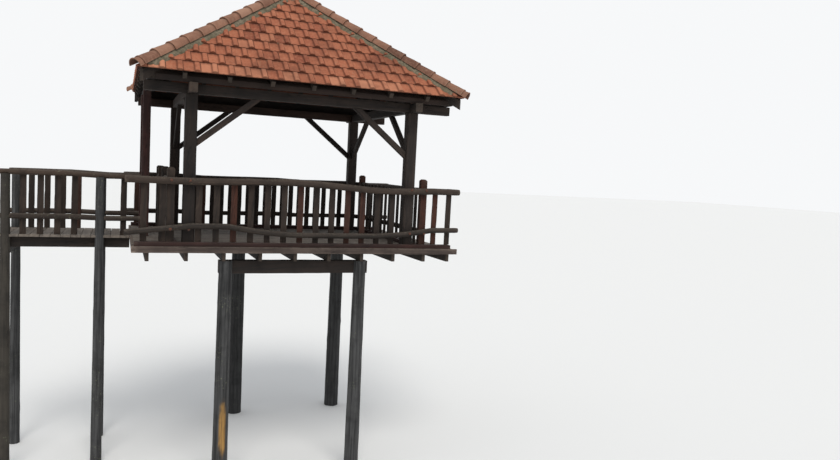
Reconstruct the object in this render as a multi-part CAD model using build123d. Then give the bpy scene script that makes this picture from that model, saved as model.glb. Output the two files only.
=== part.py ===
"""Riverside tree house: an open timber hut on tall log stilts, with a hipped clay tile roof.

Millimetres, +Z up, ground at Z 0. The open front faces -Y, the walkway arrives from -X.
"""
import os
from math import ceil, hypot, sqrt

from build123d import *

# Deck
DECK_TOP = 3600
DECK_WIDTH = 4800
DECK_DEPTH = 3500
FLOOR_THICKNESS = 35
EDGE_BOARD_HEIGHT = 90
EDGE_BOARD_THICKNESS = 35
EDGE_BOARD_OVERRUN = 70
JOIST_WIDTH = 55
JOIST_HEIGHT = 175
JOIST_PITCH = 520
JOIST_END_INSET = 170
RIM_JOIST_INSET = 50

# Stilts and the two beams on them
BEAM_WIDTH = 140
BEAM_HEIGHT = 200
FRONT_BEAM_XS = (-1245, 1030)
BACK_BEAM_XS = (-1850, 1850)
FRONT_STILT_XS = (-1150, 900)
BACK_STILT_XS = (-470, 1480)
FRONT_STILT_RADII = (118, 97)
BACK_STILT_RADII = (142, 125)

# Columns and the beams at eave height
COLUMN_SIDE = 170
COLUMN_CENTRES_X = 3360
COLUMN_CHAMFER = 12
TIE_UNDERSIDE = 2150
TIE_HEIGHT = 140
TIE_WIDTH = 120
TIE_END_PAST_PURLIN = 50
PURLIN_WIDTH = 90
PURLIN_BLANK_HEIGHT = 400
PURLIN_EAVE_INSET = 175
BRACE_WIDTH = 70
BRACE_DEPTH = 90
BRACE_DROP = 620
BRACE_REACH = 760

# Roof
ROOF_WIDTH = 4800
ROOF_DEPTH = 3900
EAVE_RISE = 2410
APEX_RISE = 4090
RAFTER_WIDTH = 60
RAFTER_DEPTH = 90
RAFTER_PITCH = 600
HIP_WIDTH = 70
HIP_DEPTH = 210
HIP_END_INSET = 60
FACE_OVERRUN = 400
KING_POST_RADIUS = 75
KING_POST_LENGTH = 700
BATTEN_WIDTH = 45
BATTEN_HEIGHT = 30
BATTEN_UP_COURSE = 190
COURSE_LENGTH = 245
TILE_NOSE_HEIGHT = 44
TILE_HEAD_HEIGHT = 18
TILE_MITRE_GAP = 3

# Hip caps: tapered half-round clay caps in a mortar bed
CAP_EXPOSURE = 290
CAP_LAP = 45
CAP_NOSE_RADIUS = 112
CAP_HEAD_RADIUS = 86
CAP_THICKNESS = 14
CAP_RIM_CLEARANCE = 17
CAP_ROW_STOP = 245
CAP_CREST_OVER_NOSE = 1.25
MORTAR_HALF_WIDTH = 150
MORTAR_EDGE_SHARE = 0.8
MORTAR_DEPTH = 130
MORTAR_STOP = 240
FINIAL_RADIUS = 190
FINIAL_DOME_RADIUS = 210
FINIAL_DOME_DROP = 60

# Railing of the hut
TOP_RAIL_RISE = 920
TOP_RAIL_RADIUS = 55
LOW_RAIL_RISE = 270
LOW_RAIL_RADIUS = 45
RAIL_EDGE_INSET = 55
RAIL_OVERRUN = 130
RAIL_STATION_PITCH = 480
RAIL_WANDER = 11
RAIL_TAPER = 0.09
TOP_RAIL_SEED = 2
LOW_RAIL_SEED = 11
SIDE_RAIL_SEED_STEP = 7
WALK_RAIL_SEED = 3
FRONT_TOP_RAIL_BENDS = (0, 0, 0, 15, 30, 45, 30, 0, -30, -20, 0, 0)
FRONT_LOW_RAIL_BENDS = (-85, -30, 20, 20, -50, -90, -90, -90, -85, -50, 20, 30)
SILL_WIDTH = 135
SILL_HEIGHT = 60
SLAB_WIDTH = 92
SLAB_THICKNESS = 25
SLAB_HOUSING = 12
FRONT_SLAB_XS = (-2280, 2371)
FRONT_SLAB_PITCH = 245
BACK_SLAB_PITCH = 165
SIDE_SLAB_PITCH = 200
NEWEL_SIDE = 110
NEWEL_HEIGHT = 1110
NEWEL_GAP = 110
NEWEL_TOP_CHAMFER = 25
SLAB_TOP_RISE = 945
SLAB_END_INSET = 95
SLAB_POST_CLEARANCE = 3
SIDE_SILL_INNER = 105
SIDE_SILL_OUTER = 35

# Walkway on the left, two bays long
WALK_LENGTH = 1800
WALK_WIDTH = 1200
WALK_CENTRE_Y = 350
WALK_BAYS = 2
WALK_FIRST_STILT = 430
WALK_LAST_STILT_INSET = 100
WALK_FLOOR_OVERHANG = 40
WALK_STILT_FOOT_RADIUS = 85
WALK_STILT_HEAD_RADIUS = 65
WALK_BEARER_WIDTH = 80
WALK_BEARER_HEIGHT = 160
WALK_BEARER_HOUSING = 15
WALK_CROSSPIECE_WIDTH = 90
WALK_CROSSPIECE_HEIGHT = 110
WALK_RAIL_RADIUS = 45
WALK_SLAB_PITCH = 240
WALK_SLAB_CLEARANCE = 15
ENTRY_POST_SIDE = 120

# Places worked out from the sizes above
COLUMN_Y = DECK_DEPTH / 2 - RAIL_EDGE_INSET - TOP_RAIL_RADIUS - COLUMN_SIDE / 2
COLUMN_X = COLUMN_CENTRES_X / 2
RAIL_Y = DECK_DEPTH / 2 - RAIL_EDGE_INSET
NEWEL_X = COLUMN_X + COLUMN_SIDE / 2 + NEWEL_GAP + NEWEL_SIDE / 2
NEWEL_Y = DECK_DEPTH / 2 - RAIL_EDGE_INSET - TOP_RAIL_RADIUS - NEWEL_SIDE / 2
SLAB_FACE_DEPTH = TOP_RAIL_RADIUS - SLAB_HOUSING
FLOOR_UNDERSIDE = DECK_TOP - FLOOR_THICKNESS
JOIST_UNDERSIDE = FLOOR_UNDERSIDE - JOIST_HEIGHT
BEAM_UNDERSIDE = JOIST_UNDERSIDE - BEAM_HEIGHT
TIE_TOP = DECK_TOP + TIE_UNDERSIDE + TIE_HEIGHT
EAVE_Z = DECK_TOP + EAVE_RISE
APEX_Z = DECK_TOP + APEX_RISE
HALF_X = ROOF_WIDTH / 2
HALF_Y = ROOF_DEPTH / 2
PURLIN_X = HALF_X - PURLIN_EAVE_INSET
PURLIN_Y = HALF_Y - PURLIN_EAVE_INSET
SILL_TOP = DECK_TOP + SILL_HEIGHT
SLAB_TOP = DECK_TOP + SLAB_TOP_RISE
RAIL_END_X = DECK_WIDTH / 2 + RAIL_OVERRUN
SLAB_END_X = DECK_WIDTH / 2 - SLAB_END_INSET
WALK_RIGHT = -DECK_WIDTH / 2 - EDGE_BOARD_THICKNESS
WALK_LEFT = WALK_RIGHT - WALK_LENGTH
WALK_LINES = (WALK_CENTRE_Y - WALK_WIDTH / 2, WALK_CENTRE_Y + WALK_WIDTH / 2)
WALK_BEARER_UNDERSIDE = FLOOR_UNDERSIDE - WALK_BEARER_HEIGHT
SHIFT_X = -(WALK_LEFT + RAIL_END_X) / 2
FAR = 20000
SPLINTER_VOLUME = 1000
SPLIT_END_VOLUME = 30000


def bar(x0, x1, y0, y1, z0, z1):
    """A squared timber between two corners."""
    size = (abs(x1 - x0), abs(y1 - y0), abs(z1 - z0))
    return Pos((x0 + x1) / 2, (y0 + y1) / 2, (z0 + z1) / 2) * Box(*size)


def log(start, end, radii):
    """A straight tapered log from one point to another."""
    axis = Vector(*end) - Vector(*start)
    foot = Plane(origin=start, z_dir=axis.normalized())
    head = Plane(origin=end, z_dir=axis.normalized())
    return loft([foot * Circle(radii[0]), head * Circle(radii[1])])


def wander(index, seed):
    """The small sideways drift of a natural log at one station, from -1 to 1."""
    steps, stride, seed_stride = 29, 37, 61
    turn = (index * stride + seed * seed_stride) % steps
    return 2 * turn / (steps - 1) - 1


def natural_log(start, end, radius, seed, bends=None):
    """A natural rail: a round log whose girth and line change from station to station."""
    start = Vector(*start)
    run = Vector(*end) - start
    along = run.normalized()
    across = along.cross(Vector(0, 0, 1))
    stations = max(2, round(run.length / RAIL_STATION_PITCH))
    rings = []
    for index in range(stations + 1):
        shift = 0 if index in (0, stations) else wander(index, seed) * RAIL_WANDER
        if bends:
            shift = bends[index]
        centre = start + run * (index / stations) + Vector(0, 0, shift)
        girth = radius * (1 - RAIL_TAPER * (1 + wander(index, seed + 5)) / 2)
        plane = Plane(origin=centre, x_dir=across, z_dir=along)
        rings.append(plane * Circle(girth))
    return loft(rings, ruled=True)


def evenly(first, last, pitch):
    """Places from first to last, as near to one pitch apart as whole spaces allow."""
    spaces = max(1, round((last - first) / pitch))
    return [first + (last - first) * index / spaces for index in range(spaces + 1)]


def clear_of(place, half, blocks):
    """Whether a slab at a place misses every blocked stretch."""
    return all(place + half <= low or place - half >= high for low, high in blocks)


# Deck

def joist_places():
    """Centre lines of the joists, with a rim joist at the right edge."""
    first = -DECK_WIDTH / 2 + JOIST_END_INSET
    rim = DECK_WIDTH / 2 - RIM_JOIST_INSET
    count = int((rim - JOIST_WIDTH * 2 - first) // JOIST_PITCH) + 1
    return [first + index * JOIST_PITCH for index in range(count)] + [rim]


def deck_joists():
    """Squared joists from front to back, whose ends show below the edge boards."""
    half = JOIST_WIDTH / 2
    end = DECK_DEPTH / 2
    return [bar(x - half, x + half, -end, end, JOIST_UNDERSIDE, FLOOR_UNDERSIDE) for x in joist_places()]


def deck_floor():
    """The plank floor, one flat panel."""
    x, y = DECK_WIDTH / 2, DECK_DEPTH / 2
    return [bar(-x, x, -y, y, FLOOR_UNDERSIDE, DECK_TOP)]


def long_edge_boards():
    """Edge boards nailed along the front and back of the floor, running past its right end."""
    x = DECK_WIDTH / 2 + EDGE_BOARD_THICKNESS
    right = x + EDGE_BOARD_OVERRUN
    y = DECK_DEPTH / 2
    out = y + EDGE_BOARD_THICKNESS
    low = DECK_TOP - EDGE_BOARD_HEIGHT
    return [bar(-x, right, side * y, side * out, low, DECK_TOP) for side in (-1, 1)]


def short_edge_boards():
    """Edge boards along the left and right ends, between the long ones."""
    x = DECK_WIDTH / 2
    out = x + EDGE_BOARD_THICKNESS
    y = DECK_DEPTH / 2
    low = DECK_TOP - EDGE_BOARD_HEIGHT
    return [bar(side * x, side * out, -y, y, low, DECK_TOP) for side in (-1, 1)]


# Stilts

def cross_beam(side, ends):
    """The beam along the front (-1) or back (1) that carries the joists."""
    y = side * COLUMN_Y
    return bar(*ends, y - BEAM_WIDTH / 2, y + BEAM_WIDTH / 2, BEAM_UNDERSIDE, JOIST_UNDERSIDE)


def stilt(x, side, radii):
    """A tall log, halved at its head so that the beam sits on it and bears against its cheek."""
    y = side * (COLUMN_Y + BEAM_WIDTH / 2)
    post = log((x, y, 0), (x, y, JOIST_UNDERSIDE), radii)
    inner = y - side * FAR
    seat = bar(x - FAR, x + FAR, side * (COLUMN_Y + BEAM_WIDTH / 2), inner, BEAM_UNDERSIDE, FAR)
    return post - seat


# Columns, ties and braces

def column(x_side, y_side):
    """A squared column standing on the floor over a joist."""
    x, y = x_side * COLUMN_X, y_side * COLUMN_Y
    half = COLUMN_SIDE / 2
    top = DECK_TOP + TIE_UNDERSIDE
    post = bar(x - half, x + half, y - half, y + half, DECK_TOP, top)
    return chamfer(post.edges().filter_by(Axis.Z), COLUMN_CHAMFER)


def tie_beams(along_x):
    """The two tie beams one way, halved over the two that cross them at the columns."""
    half = TIE_WIDTH / 2
    low, top = TIE_TOP - TIE_HEIGHT, TIE_TOP
    middle = (low + top) / 2
    beams = []
    for side in (-1, 1):
        if along_x:
            end = PURLIN_X + PURLIN_WIDTH / 2 + TIE_END_PAST_PURLIN
            y = side * COLUMN_Y
            beam = bar(-end, end, y - half, y + half, low, top)
            for cross in (-1, 1):
                x = cross * COLUMN_X
                beam -= bar(x - half, x + half, y - half, y + half, middle, top)
        else:
            end = PURLIN_Y + PURLIN_WIDTH / 2 + TIE_END_PAST_PURLIN
            x = side * COLUMN_X
            beam = bar(x - half, x + half, -end, end, low, top)
            for cross in (-1, 1):
                y = cross * COLUMN_Y
                beam -= bar(x - half, x + half, y - half, y + half, low, middle)
        beams.append(beam)
    return beams


def knee_brace(flat_start, flat_end, z_start, z_end):
    """A brace from a column face up to the underside of a tie, with ends cut to both."""
    depth = BRACE_DEPTH
    lean = hypot(flat_end - flat_start, z_end - z_start)
    rise, run = z_end - z_start, abs(flat_end - flat_start)
    foot = depth * lean / run
    head = depth * lean / rise
    way = 1 if flat_end > flat_start else -1
    outline = [
        (flat_start, z_start),
        (flat_start, z_start - foot),
        (flat_end + way * head, z_end),
        (flat_end, z_end),
    ]
    with BuildSketch(Plane.XZ) as face:
        with BuildLine():
            Polyline(*outline, close=True)
        make_face()
    return extrude(face.sketch, amount=BRACE_WIDTH / 2, both=True)


def knee_braces():
    """Braces in all four walls, two to a column."""
    top = DECK_TOP + TIE_UNDERSIDE
    braces = []
    for side in (-1, 1):
        for way in (-1, 1):
            face = way * (COLUMN_X - COLUMN_SIDE / 2)
            brace = knee_brace(face, face - way * BRACE_REACH, top - BRACE_DROP, top)
            braces.append(Pos(0, side * COLUMN_Y, 0) * brace)
            face = way * (COLUMN_Y - COLUMN_SIDE / 2)
            brace = knee_brace(face, face - way * BRACE_REACH, top - BRACE_DROP, top)
            braces.append(Pos(side * COLUMN_X, 0, 0) * (Rot(0, 0, 90) * brace))
    return braces


# Roof: each of the four faces is made as the front one and turned into place

class Face:
    """One face of the hipped roof, worked out as if it faced -Y."""

    def __init__(self, turn, half_width, run):
        self.turn = turn
        self.half_width = half_width
        self.run = run
        self.rise = APEX_Z - EAVE_Z
        self.slope = hypot(run, self.rise)

    def point(self, along, normal):
        """The (y, z) of a place so far up the slope and so far out of the roof plane."""
        up = along / self.slope
        y = -self.run + up * self.run - normal * self.rise / self.slope
        z = EAVE_Z + up * self.rise + normal * self.run / self.slope
        return (y, z)

    def strip(self, outline):
        """A section in (slope, normal) coordinates drawn out along the eave."""
        points = [self.point(*place) for place in outline]
        with BuildSketch(Plane.YZ) as face:
            with BuildLine():
                Polyline(*points, close=True)
            make_face()
        return extrude(face.sketch, amount=self.half_width + FACE_OVERRUN, both=True)

    def below(self, normal):
        """All the space under the roof plane, so far out of it."""
        reach = self.slope
        inner = [self.point(-reach, normal), self.point(2 * reach, normal)]
        outline = inner + [(inner[1][0], -FAR), (inner[0][0], -FAR)]
        with BuildSketch(Plane.YZ) as face:
            with BuildLine():
                Polyline(*outline, close=True)
            make_face()
        return extrude(face.sketch, amount=FAR / 2, both=True)

    def wedge(self, gap):
        """The space over this face in plan, as far as a gap from the two hips."""
        ratio = self.half_width / self.run
        point = gap * sqrt(1 + ratio * ratio) / ratio
        depth = self.run + FACE_OVERRUN
        wide = (depth - point) * ratio
        with BuildSketch() as plan:
            with BuildLine():
                Polyline((0, -point), (-wide, -depth), (wide, -depth), close=True)
            make_face()
        return extrude(plan.sketch, amount=FAR)

    def placed(self, shape):
        """The shape turned to this face's side of the hut."""
        return Rot(0, 0, self.turn) * shape


FACES = {
    "front": Face(0, HALF_X, HALF_Y),
    "right": Face(90, HALF_Y, HALF_X),
    "back": Face(180, HALF_X, HALF_Y),
    "left": Face(270, HALF_Y, HALF_X),
}


def roof_core(normal=0):
    """The pyramid inside all four roof planes, or inside planes so far out of them."""
    core = bar(-FAR, FAR, -FAR, FAR, EAVE_Z - MORTAR_DEPTH * 2, APEX_Z + MORTAR_DEPTH)
    for face in FACES.values():
        core = core & face.placed(face.below(normal))
    return core


def solids_of(shape, least=SPLINTER_VOLUME):
    """The separate solids of a shape that are more than splinters."""
    return [solid for solid in shape.solids() if solid.volume > least]


def rafters(face, king_post):
    """Common and jack rafters of one face, cut against the hips and the king post."""
    under, top = -BATTEN_HEIGHT - RAFTER_DEPTH, -BATTEN_HEIGHT
    end = face.slope + FACE_OVERRUN
    sheet = face.strip([(0, under), (end, under), (end, top), (0, top)])
    room = face.wedge(HIP_WIDTH / 2)
    reach = int((face.half_width - HIP_WIDTH) // RAFTER_PITCH)
    made = []
    for index in range(-reach, reach + 1):
        x = index * RAFTER_PITCH
        slice_ = bar(x - RAFTER_WIDTH / 2, x + RAFTER_WIDTH / 2, -FAR, FAR, 0, FAR)
        rafter = face.placed(sheet & slice_ & room) - king_post
        made += solids_of(rafter)
    return made


def hip_line(x_side, y_side):
    """The direction of one hip in plan and its length there."""
    run = hypot(HALF_X, HALF_Y)
    return Vector(x_side * HALF_X / run, y_side * HALF_Y / run, 0), run


def hip_rafters(king_post):
    """The four hip rafters, their tops backed to the two roof planes that meet on them."""
    made = []
    for x_side in (-1, 1):
        for y_side in (-1, 1):
            out, run = hip_line(x_side, y_side)
            frame = Plane(origin=(0, 0, 0), x_dir=out, z_dir=out.cross(Vector(0, 0, 1)))
            end = run - HIP_END_INSET
            top = EAVE_Z + HIP_END_INSET * (APEX_Z - EAVE_Z) / run
            outline = [(0, APEX_Z), (0, APEX_Z - HIP_DEPTH), (end, top - HIP_DEPTH), (end, top)]
            with BuildSketch(frame) as side_view:
                with BuildLine():
                    Polyline(*outline, close=True)
                make_face()
            hip = extrude(side_view.sketch, amount=HIP_WIDTH / 2, both=True)
            names = ("front" if y_side < 0 else "back", "left" if x_side < 0 else "right")
            for name in names:
                hip = hip & FACES[name].placed(FACES[name].below(-BATTEN_HEIGHT))
            made += solids_of(hip - king_post)
    return made


def king_post_solid():
    """The round post under the apex that all the hips and rafters lean on."""
    top = APEX_Z
    post = Pos(0, 0, top - KING_POST_LENGTH) * Cylinder(
        KING_POST_RADIUS, KING_POST_LENGTH, align=(Align.CENTER, Align.CENTER, Align.MIN))
    for face in FACES.values():
        post = post & face.placed(face.below(-BATTEN_HEIGHT))
    return solids_of(post)[0]


def battens(face):
    """Tile battens of one face, one under each course, mitred on the hips."""
    room = face.wedge(TILE_MITRE_GAP)
    made = []
    for index in range(course_count(face)):
        low = index * COURSE_LENGTH + BATTEN_UP_COURSE
        high = low + BATTEN_WIDTH
        if high < face.slope - BATTEN_WIDTH:
            batten = face.strip([(low, -BATTEN_HEIGHT), (high, -BATTEN_HEIGHT), (high, 0), (low, 0)])
            made += solids_of(face.placed(batten & room))
    return made


def course_count(face):
    """How many tile courses go up one face."""
    return ceil(face.slope / COURSE_LENGTH)


def tile_field(face):
    """The lapped courses of one face: each course's nose stands proud of the one below."""
    count = course_count(face)
    outline = [(0, 0)]
    for index in range(count):
        foot = index * COURSE_LENGTH
        outline += [(foot, TILE_NOSE_HEIGHT), (foot + COURSE_LENGTH, TILE_HEAD_HEIGHT)]
    outline.append((count * COURSE_LENGTH, 0))
    field = face.strip(outline) & face.wedge(TILE_MITRE_GAP)
    return solids_of(face.placed(field))[0]


def purlins(along_x, hips):
    """Eave purlins on the tie ends, bevelled under the rafters and cut round the hip rafters."""
    half = PURLIN_WIDTH / 2
    made = []
    if along_x:
        end = PURLIN_X - half
        names = (("front", -1), ("back", 1))
    else:
        end = PURLIN_Y + half
        names = (("left", -1), ("right", 1))
    for name, side in names:
        if along_x:
            place = (-end, end, side * PURLIN_Y - half, side * PURLIN_Y + half)
        else:
            place = (side * PURLIN_X - half, side * PURLIN_X + half, -end, end)
        beam = bar(*place, TIE_TOP, TIE_TOP + PURLIN_BLANK_HEIGHT)
        beam = beam & FACES[name].placed(FACES[name].below(-BATTEN_HEIGHT - RAFTER_DEPTH))
        for hip in hips:
            beam -= hip
        made += solids_of(beam)[:1]
    return made


# Hip caps

class HipRow:
    """The row of half-round caps and the mortar bed along one hip."""

    def __init__(self, x_side, y_side):
        self.out, self.plan_run = hip_line(x_side, y_side)
        self.across = self.out.cross(Vector(0, 0, 1))
        rise = APEX_Z - EAVE_Z
        self.length = hypot(self.plan_run, rise)
        self.up = (self.out * -self.plan_run + Vector(0, 0, rise)).normalized()
        self.foot = self.out * self.plan_run + Vector(0, 0, EAVE_Z)
        side_fall = min(self.lateral_fall(HALF_X, HALF_Y), self.lateral_fall(HALF_Y, HALF_X))
        self.crest = TILE_NOSE_HEIGHT * CAP_CREST_OVER_NOSE
        self.axis_lift = self.crest - side_fall * CAP_NOSE_RADIUS + CAP_RIM_CLEARANCE

    def lateral_fall(self, half_width, run):
        """How fast one roof plane falls away square to the hip in plan."""
        return (APEX_Z - EAVE_Z) / run * half_width / self.plan_run

    def station(self, along):
        """The axis of the caps so far up the hip."""
        return self.foot + self.up * along + Vector(0, 0, self.axis_lift)

    def ring(self, along, radius):
        """Half a clay ring across the hip."""
        plane = Plane(origin=self.station(along), x_dir=self.across, z_dir=self.up)
        inner = radius - CAP_THICKNESS
        with BuildSketch(plane) as section:
            with BuildLine():
                Line((radius, 0), (inner, 0))
                ThreePointArc((inner, 0), (0, inner), (-inner, 0))
                Line((-inner, 0), (-radius, 0))
                ThreePointArc((-radius, 0), (0, radius), (radius, 0))
            make_face()
        return section.sketch

    def caps(self):
        """Tapered caps, each with its nose over the head of the one below."""
        made = []
        top = self.length - CAP_ROW_STOP
        count = int((top - CAP_LAP) // CAP_EXPOSURE)
        start = top - CAP_LAP - count * CAP_EXPOSURE
        for index in range(count + 1):
            nose = start + (index - 1) * CAP_EXPOSURE
            nose = max(nose, -CAP_LAP) if index == 0 else nose
            head = start + index * CAP_EXPOSURE + CAP_LAP
            made.append(loft([self.ring(nose, CAP_NOSE_RADIUS), self.ring(head, CAP_HEAD_RADIUS)]))
        return made

    def bed(self, tiles, caps):
        """The mortar under the caps, cut to the tiles below and the caps above."""
        frame = Plane(origin=self.foot, x_dir=self.across, z_dir=self.up)
        half = MORTAR_HALF_WIDTH
        edge = self.axis_lift * MORTAR_EDGE_SHARE
        crown = self.axis_lift + CAP_HEAD_RADIUS - CAP_THICKNESS * 2
        with BuildSketch(frame) as section:
            with BuildLine():
                Polyline((-half, -MORTAR_DEPTH), (half, -MORTAR_DEPTH), (half, edge), (0, crown),
                         (-half, edge), close=True)
            make_face()
        mass = extrude(section.sketch, amount=self.length - MORTAR_STOP)
        for block in [roof_core()] + tiles + caps:
            mass -= block
        return solids_of(mass)


def finial():
    """The domed clay cap over the four hips at the apex, resting on the tile noses."""
    dome = Pos(0, 0, APEX_Z - FINIAL_DOME_DROP) * Sphere(FINIAL_DOME_RADIUS)
    dome &= Pos(0, 0, APEX_Z) * Cylinder(FINIAL_RADIUS, FINIAL_DOME_RADIUS * 4)
    dome -= roof_core(TILE_NOSE_HEIGHT)
    return max(dome.solids(), key=lambda solid: solid.volume)


# Railing

def newel_posts():
    """Posts at the four corners of the railing and at the two sides of the walkway gap."""
    half = NEWEL_SIDE / 2
    places = [(x * NEWEL_X, y * NEWEL_Y) for x in (-1, 1) for y in (-1, 1)]
    places += [(-NEWEL_X, y) for y in WALK_LINES]
    top = DECK_TOP + NEWEL_HEIGHT
    posts = [bar(x - half, x + half, y - half, y + half, DECK_TOP, top) for x, y in places]
    return [chamfer(post.faces().sort_by(Axis.Z)[-1].edges(), NEWEL_TOP_CHAMFER) for post in posts]


def entry_posts():
    """Two posts at the deck edge beside the walkway, up to the left eave purlin."""
    half = ENTRY_POST_SIDE / 2
    x = -PURLIN_X
    return [bar(x - half, x + half, y - half, y + half, DECK_TOP, TIE_TOP) for y in WALK_LINES]


def long_slabs(side, ends, pitch):
    """The flat balusters of the front (-1) or back (1) railing."""
    face = RAIL_Y - SLAB_FACE_DEPTH
    half = SLAB_WIDTH / 2
    blocks = []
    for place, post in ((COLUMN_X, COLUMN_SIDE), (NEWEL_X, NEWEL_SIDE)):
        reach = post / 2 + SLAB_POST_CLEARANCE
        blocks += [(place - reach, place + reach), (-place - reach, -place + reach)]
    return [
        bar(x - half, x + half, side * face, side * (face - SLAB_THICKNESS), SILL_TOP, SLAB_TOP)
        for x in evenly(*ends, pitch) if clear_of(x, half, blocks)
    ]


def side_stretches(side):
    """The runs of railing between posts on the left (-1) or right (1) side."""
    end = NEWEL_Y - NEWEL_SIDE / 2
    if side > 0:
        return [(-end, end)]
    half = NEWEL_SIDE / 2
    return [(-end, WALK_LINES[0] - half), (WALK_LINES[1] + half, end)]


def side_slabs(side):
    """The flat balusters of the left (-1) or right (1) railing."""
    face = NEWEL_X - SLAB_FACE_DEPTH
    half = SLAB_WIDTH / 2
    made = []
    for low, high in side_stretches(side):
        for y in evenly(low + SLAB_END_INSET, high - SLAB_END_INSET, SIDE_SLAB_PITCH):
            made.append(bar(side * face, side * (face - SLAB_THICKNESS), y - half, y + half,
                            SILL_TOP, SLAB_TOP))
    return made


def hut_rails(rise, radius, slabs, seed, front_bends):
    """The natural log rails at one height on all four sides, housed over the slabs."""
    z = DECK_TOP + rise
    made = []
    for side, bends in ((-1, front_bends), (1, None)):
        y = side * RAIL_Y
        ends = ((-RAIL_END_X, y, z), (RAIL_END_X, y, z))
        made.append(natural_log(*ends, radius, seed + side, bends))
    for side in (-1, 1):
        x = side * NEWEL_X
        for low, high in side_stretches(side):
            made.append(natural_log((x, low, z), (x, high, z), radius,
                                    seed + side + SIDE_RAIL_SEED_STEP))
    housed = []
    for rail in made:
        for slab in slabs:
            if near(rail, slab):
                rail = rail - slab
        housed.append(max(rail.solids(), key=lambda solid: solid.volume))
    return housed


def near(one, other):
    """Whether the boxes around two solids meet."""
    a, b = one.bounding_box(), other.bounding_box()
    return all(
        low_a <= high_b and low_b <= high_a
        for low_a, high_a, low_b, high_b in (
            (a.min.X, a.max.X, b.min.X, b.max.X),
            (a.min.Y, a.max.Y, b.min.Y, b.max.Y),
            (a.min.Z, a.max.Z, b.min.Z, b.max.Z),
        )
    )


def sills(posts):
    """Flat boards on the deck edge that the slabs stand on, notched round the posts."""
    x, y = DECK_WIDTH / 2, DECK_DEPTH / 2
    boards = [bar(-x, x, side * y, side * (y - SILL_WIDTH), DECK_TOP, SILL_TOP) for side in (-1, 1)]
    for side in (-1, 1):
        inner, outer = NEWEL_X - SIDE_SILL_INNER, NEWEL_X + SIDE_SILL_OUTER
        for low, high in side_stretches(side):
            boards.append(bar(side * inner, side * outer, low, high, DECK_TOP, SILL_TOP))
    made = []
    for board in boards:
        for post in posts:
            if near(board, post):
                board = board - post
        made += solids_of(board)
    return made


# Walkway

def walk_stilt_places():
    """Where the pairs of walkway stilts stand along the walkway."""
    first = WALK_RIGHT - WALK_FIRST_STILT
    last = WALK_LEFT + WALK_LAST_STILT_INSET
    spaces = WALK_BAYS - 1
    return [first + (last - first) * index / spaces for index in range(spaces + 1)]


def walk_stilts():
    """Slim logs from the ground up to the walkway's top rails."""
    foot, head = WALK_STILT_FOOT_RADIUS, WALK_STILT_HEAD_RADIUS
    top = DECK_TOP + TOP_RAIL_RISE
    return [log((x, y, 0), (x, y, top), (foot, head)) for x in walk_stilt_places() for y in WALK_LINES]


def walk_floor(stilts):
    """The walkway's planks, notched round the stilts."""
    low, high = WALK_LINES[0] - WALK_FLOOR_OVERHANG, WALK_LINES[1] + WALK_FLOOR_OVERHANG
    panel = bar(WALK_LEFT, WALK_RIGHT, low, high, FLOOR_UNDERSIDE, DECK_TOP)
    for post in stilts:
        panel -= post
    return solids_of(panel)


def walk_bearers(stilts):
    """The two beams under the walkway, let in against the stilts."""
    made = []
    for side, line in zip((1, -1), WALK_LINES):
        outer = line + side * (WALK_STILT_HEAD_RADIUS - WALK_BEARER_HOUSING)
        inner = outer + side * WALK_BEARER_WIDTH
        beam = bar(WALK_LEFT, WALK_RIGHT, outer, inner, WALK_BEARER_UNDERSIDE, FLOOR_UNDERSIDE)
        for post in stilts:
            beam -= post
        made += solids_of(beam)
    return made


def walk_crosspieces(stilts):
    """A cross timber between each pair of stilts, under the bearers."""
    half = WALK_CROSSPIECE_WIDTH / 2
    low = WALK_BEARER_UNDERSIDE - WALK_CROSSPIECE_HEIGHT
    made = []
    for x in walk_stilt_places():
        piece = bar(x - half, x + half, WALK_LINES[0], WALK_LINES[1], low, WALK_BEARER_UNDERSIDE)
        for post in stilts:
            piece -= post
        made.append(max(piece.solids(), key=lambda solid: solid.volume))
    return made


def walk_slabs():
    """Flat balusters along both sides of the walkway."""
    half = SLAB_WIDTH / 2
    depth = WALK_RAIL_RADIUS - SLAB_HOUSING
    reach = WALK_STILT_HEAD_RADIUS + WALK_SLAB_CLEARANCE
    blocks = [(x - reach, x + reach) for x in walk_stilt_places()]
    made = []
    for side, line in zip((1, -1), WALK_LINES):
        outer = line + side * depth
        inner = outer + side * SLAB_THICKNESS
        for x in evenly(WALK_LEFT + SLAB_END_INSET, WALK_RIGHT - SLAB_END_INSET, WALK_SLAB_PITCH):
            if clear_of(x, half, blocks):
                made.append(bar(x - half, x + half, outer, inner, DECK_TOP, SLAB_TOP))
    return made


def walk_rails(slabs, stilts):
    """Top rails on the stilt heads and lower rails between the stilts, on both sides."""
    right = -PURLIN_X - ENTRY_POST_SIDE / 2
    made = []
    for seed, y in enumerate(WALK_LINES):
        for rise, cutters in ((TOP_RAIL_RISE, slabs), (LOW_RAIL_RISE, slabs + stilts)):
            z = DECK_TOP + rise
            rail = natural_log((WALK_LEFT, y, z), (right, y, z), WALK_RAIL_RADIUS,
                               seed + WALK_RAIL_SEED)
            for cutter in cutters:
                if near(rail, cutter):
                    rail -= cutter
            made.append((rise, solids_of(rail, SPLIT_END_VOLUME)))
    tops = [solid for rise, group in made if rise == TOP_RAIL_RISE for solid in group]
    lows = [solid for rise, group in made if rise == LOW_RAIL_RISE for solid in group]
    return tops, lows


def write(name, shapes):
    """Save the solids of one node, moved so that the whole part is centred."""
    moved = [Pos(SHIFT_X, 0, 0) * shape for shape in shapes]
    export_step(Compound(children=moved) if len(moved) > 1 else moved[0], f"parts/{name}.step")


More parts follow.
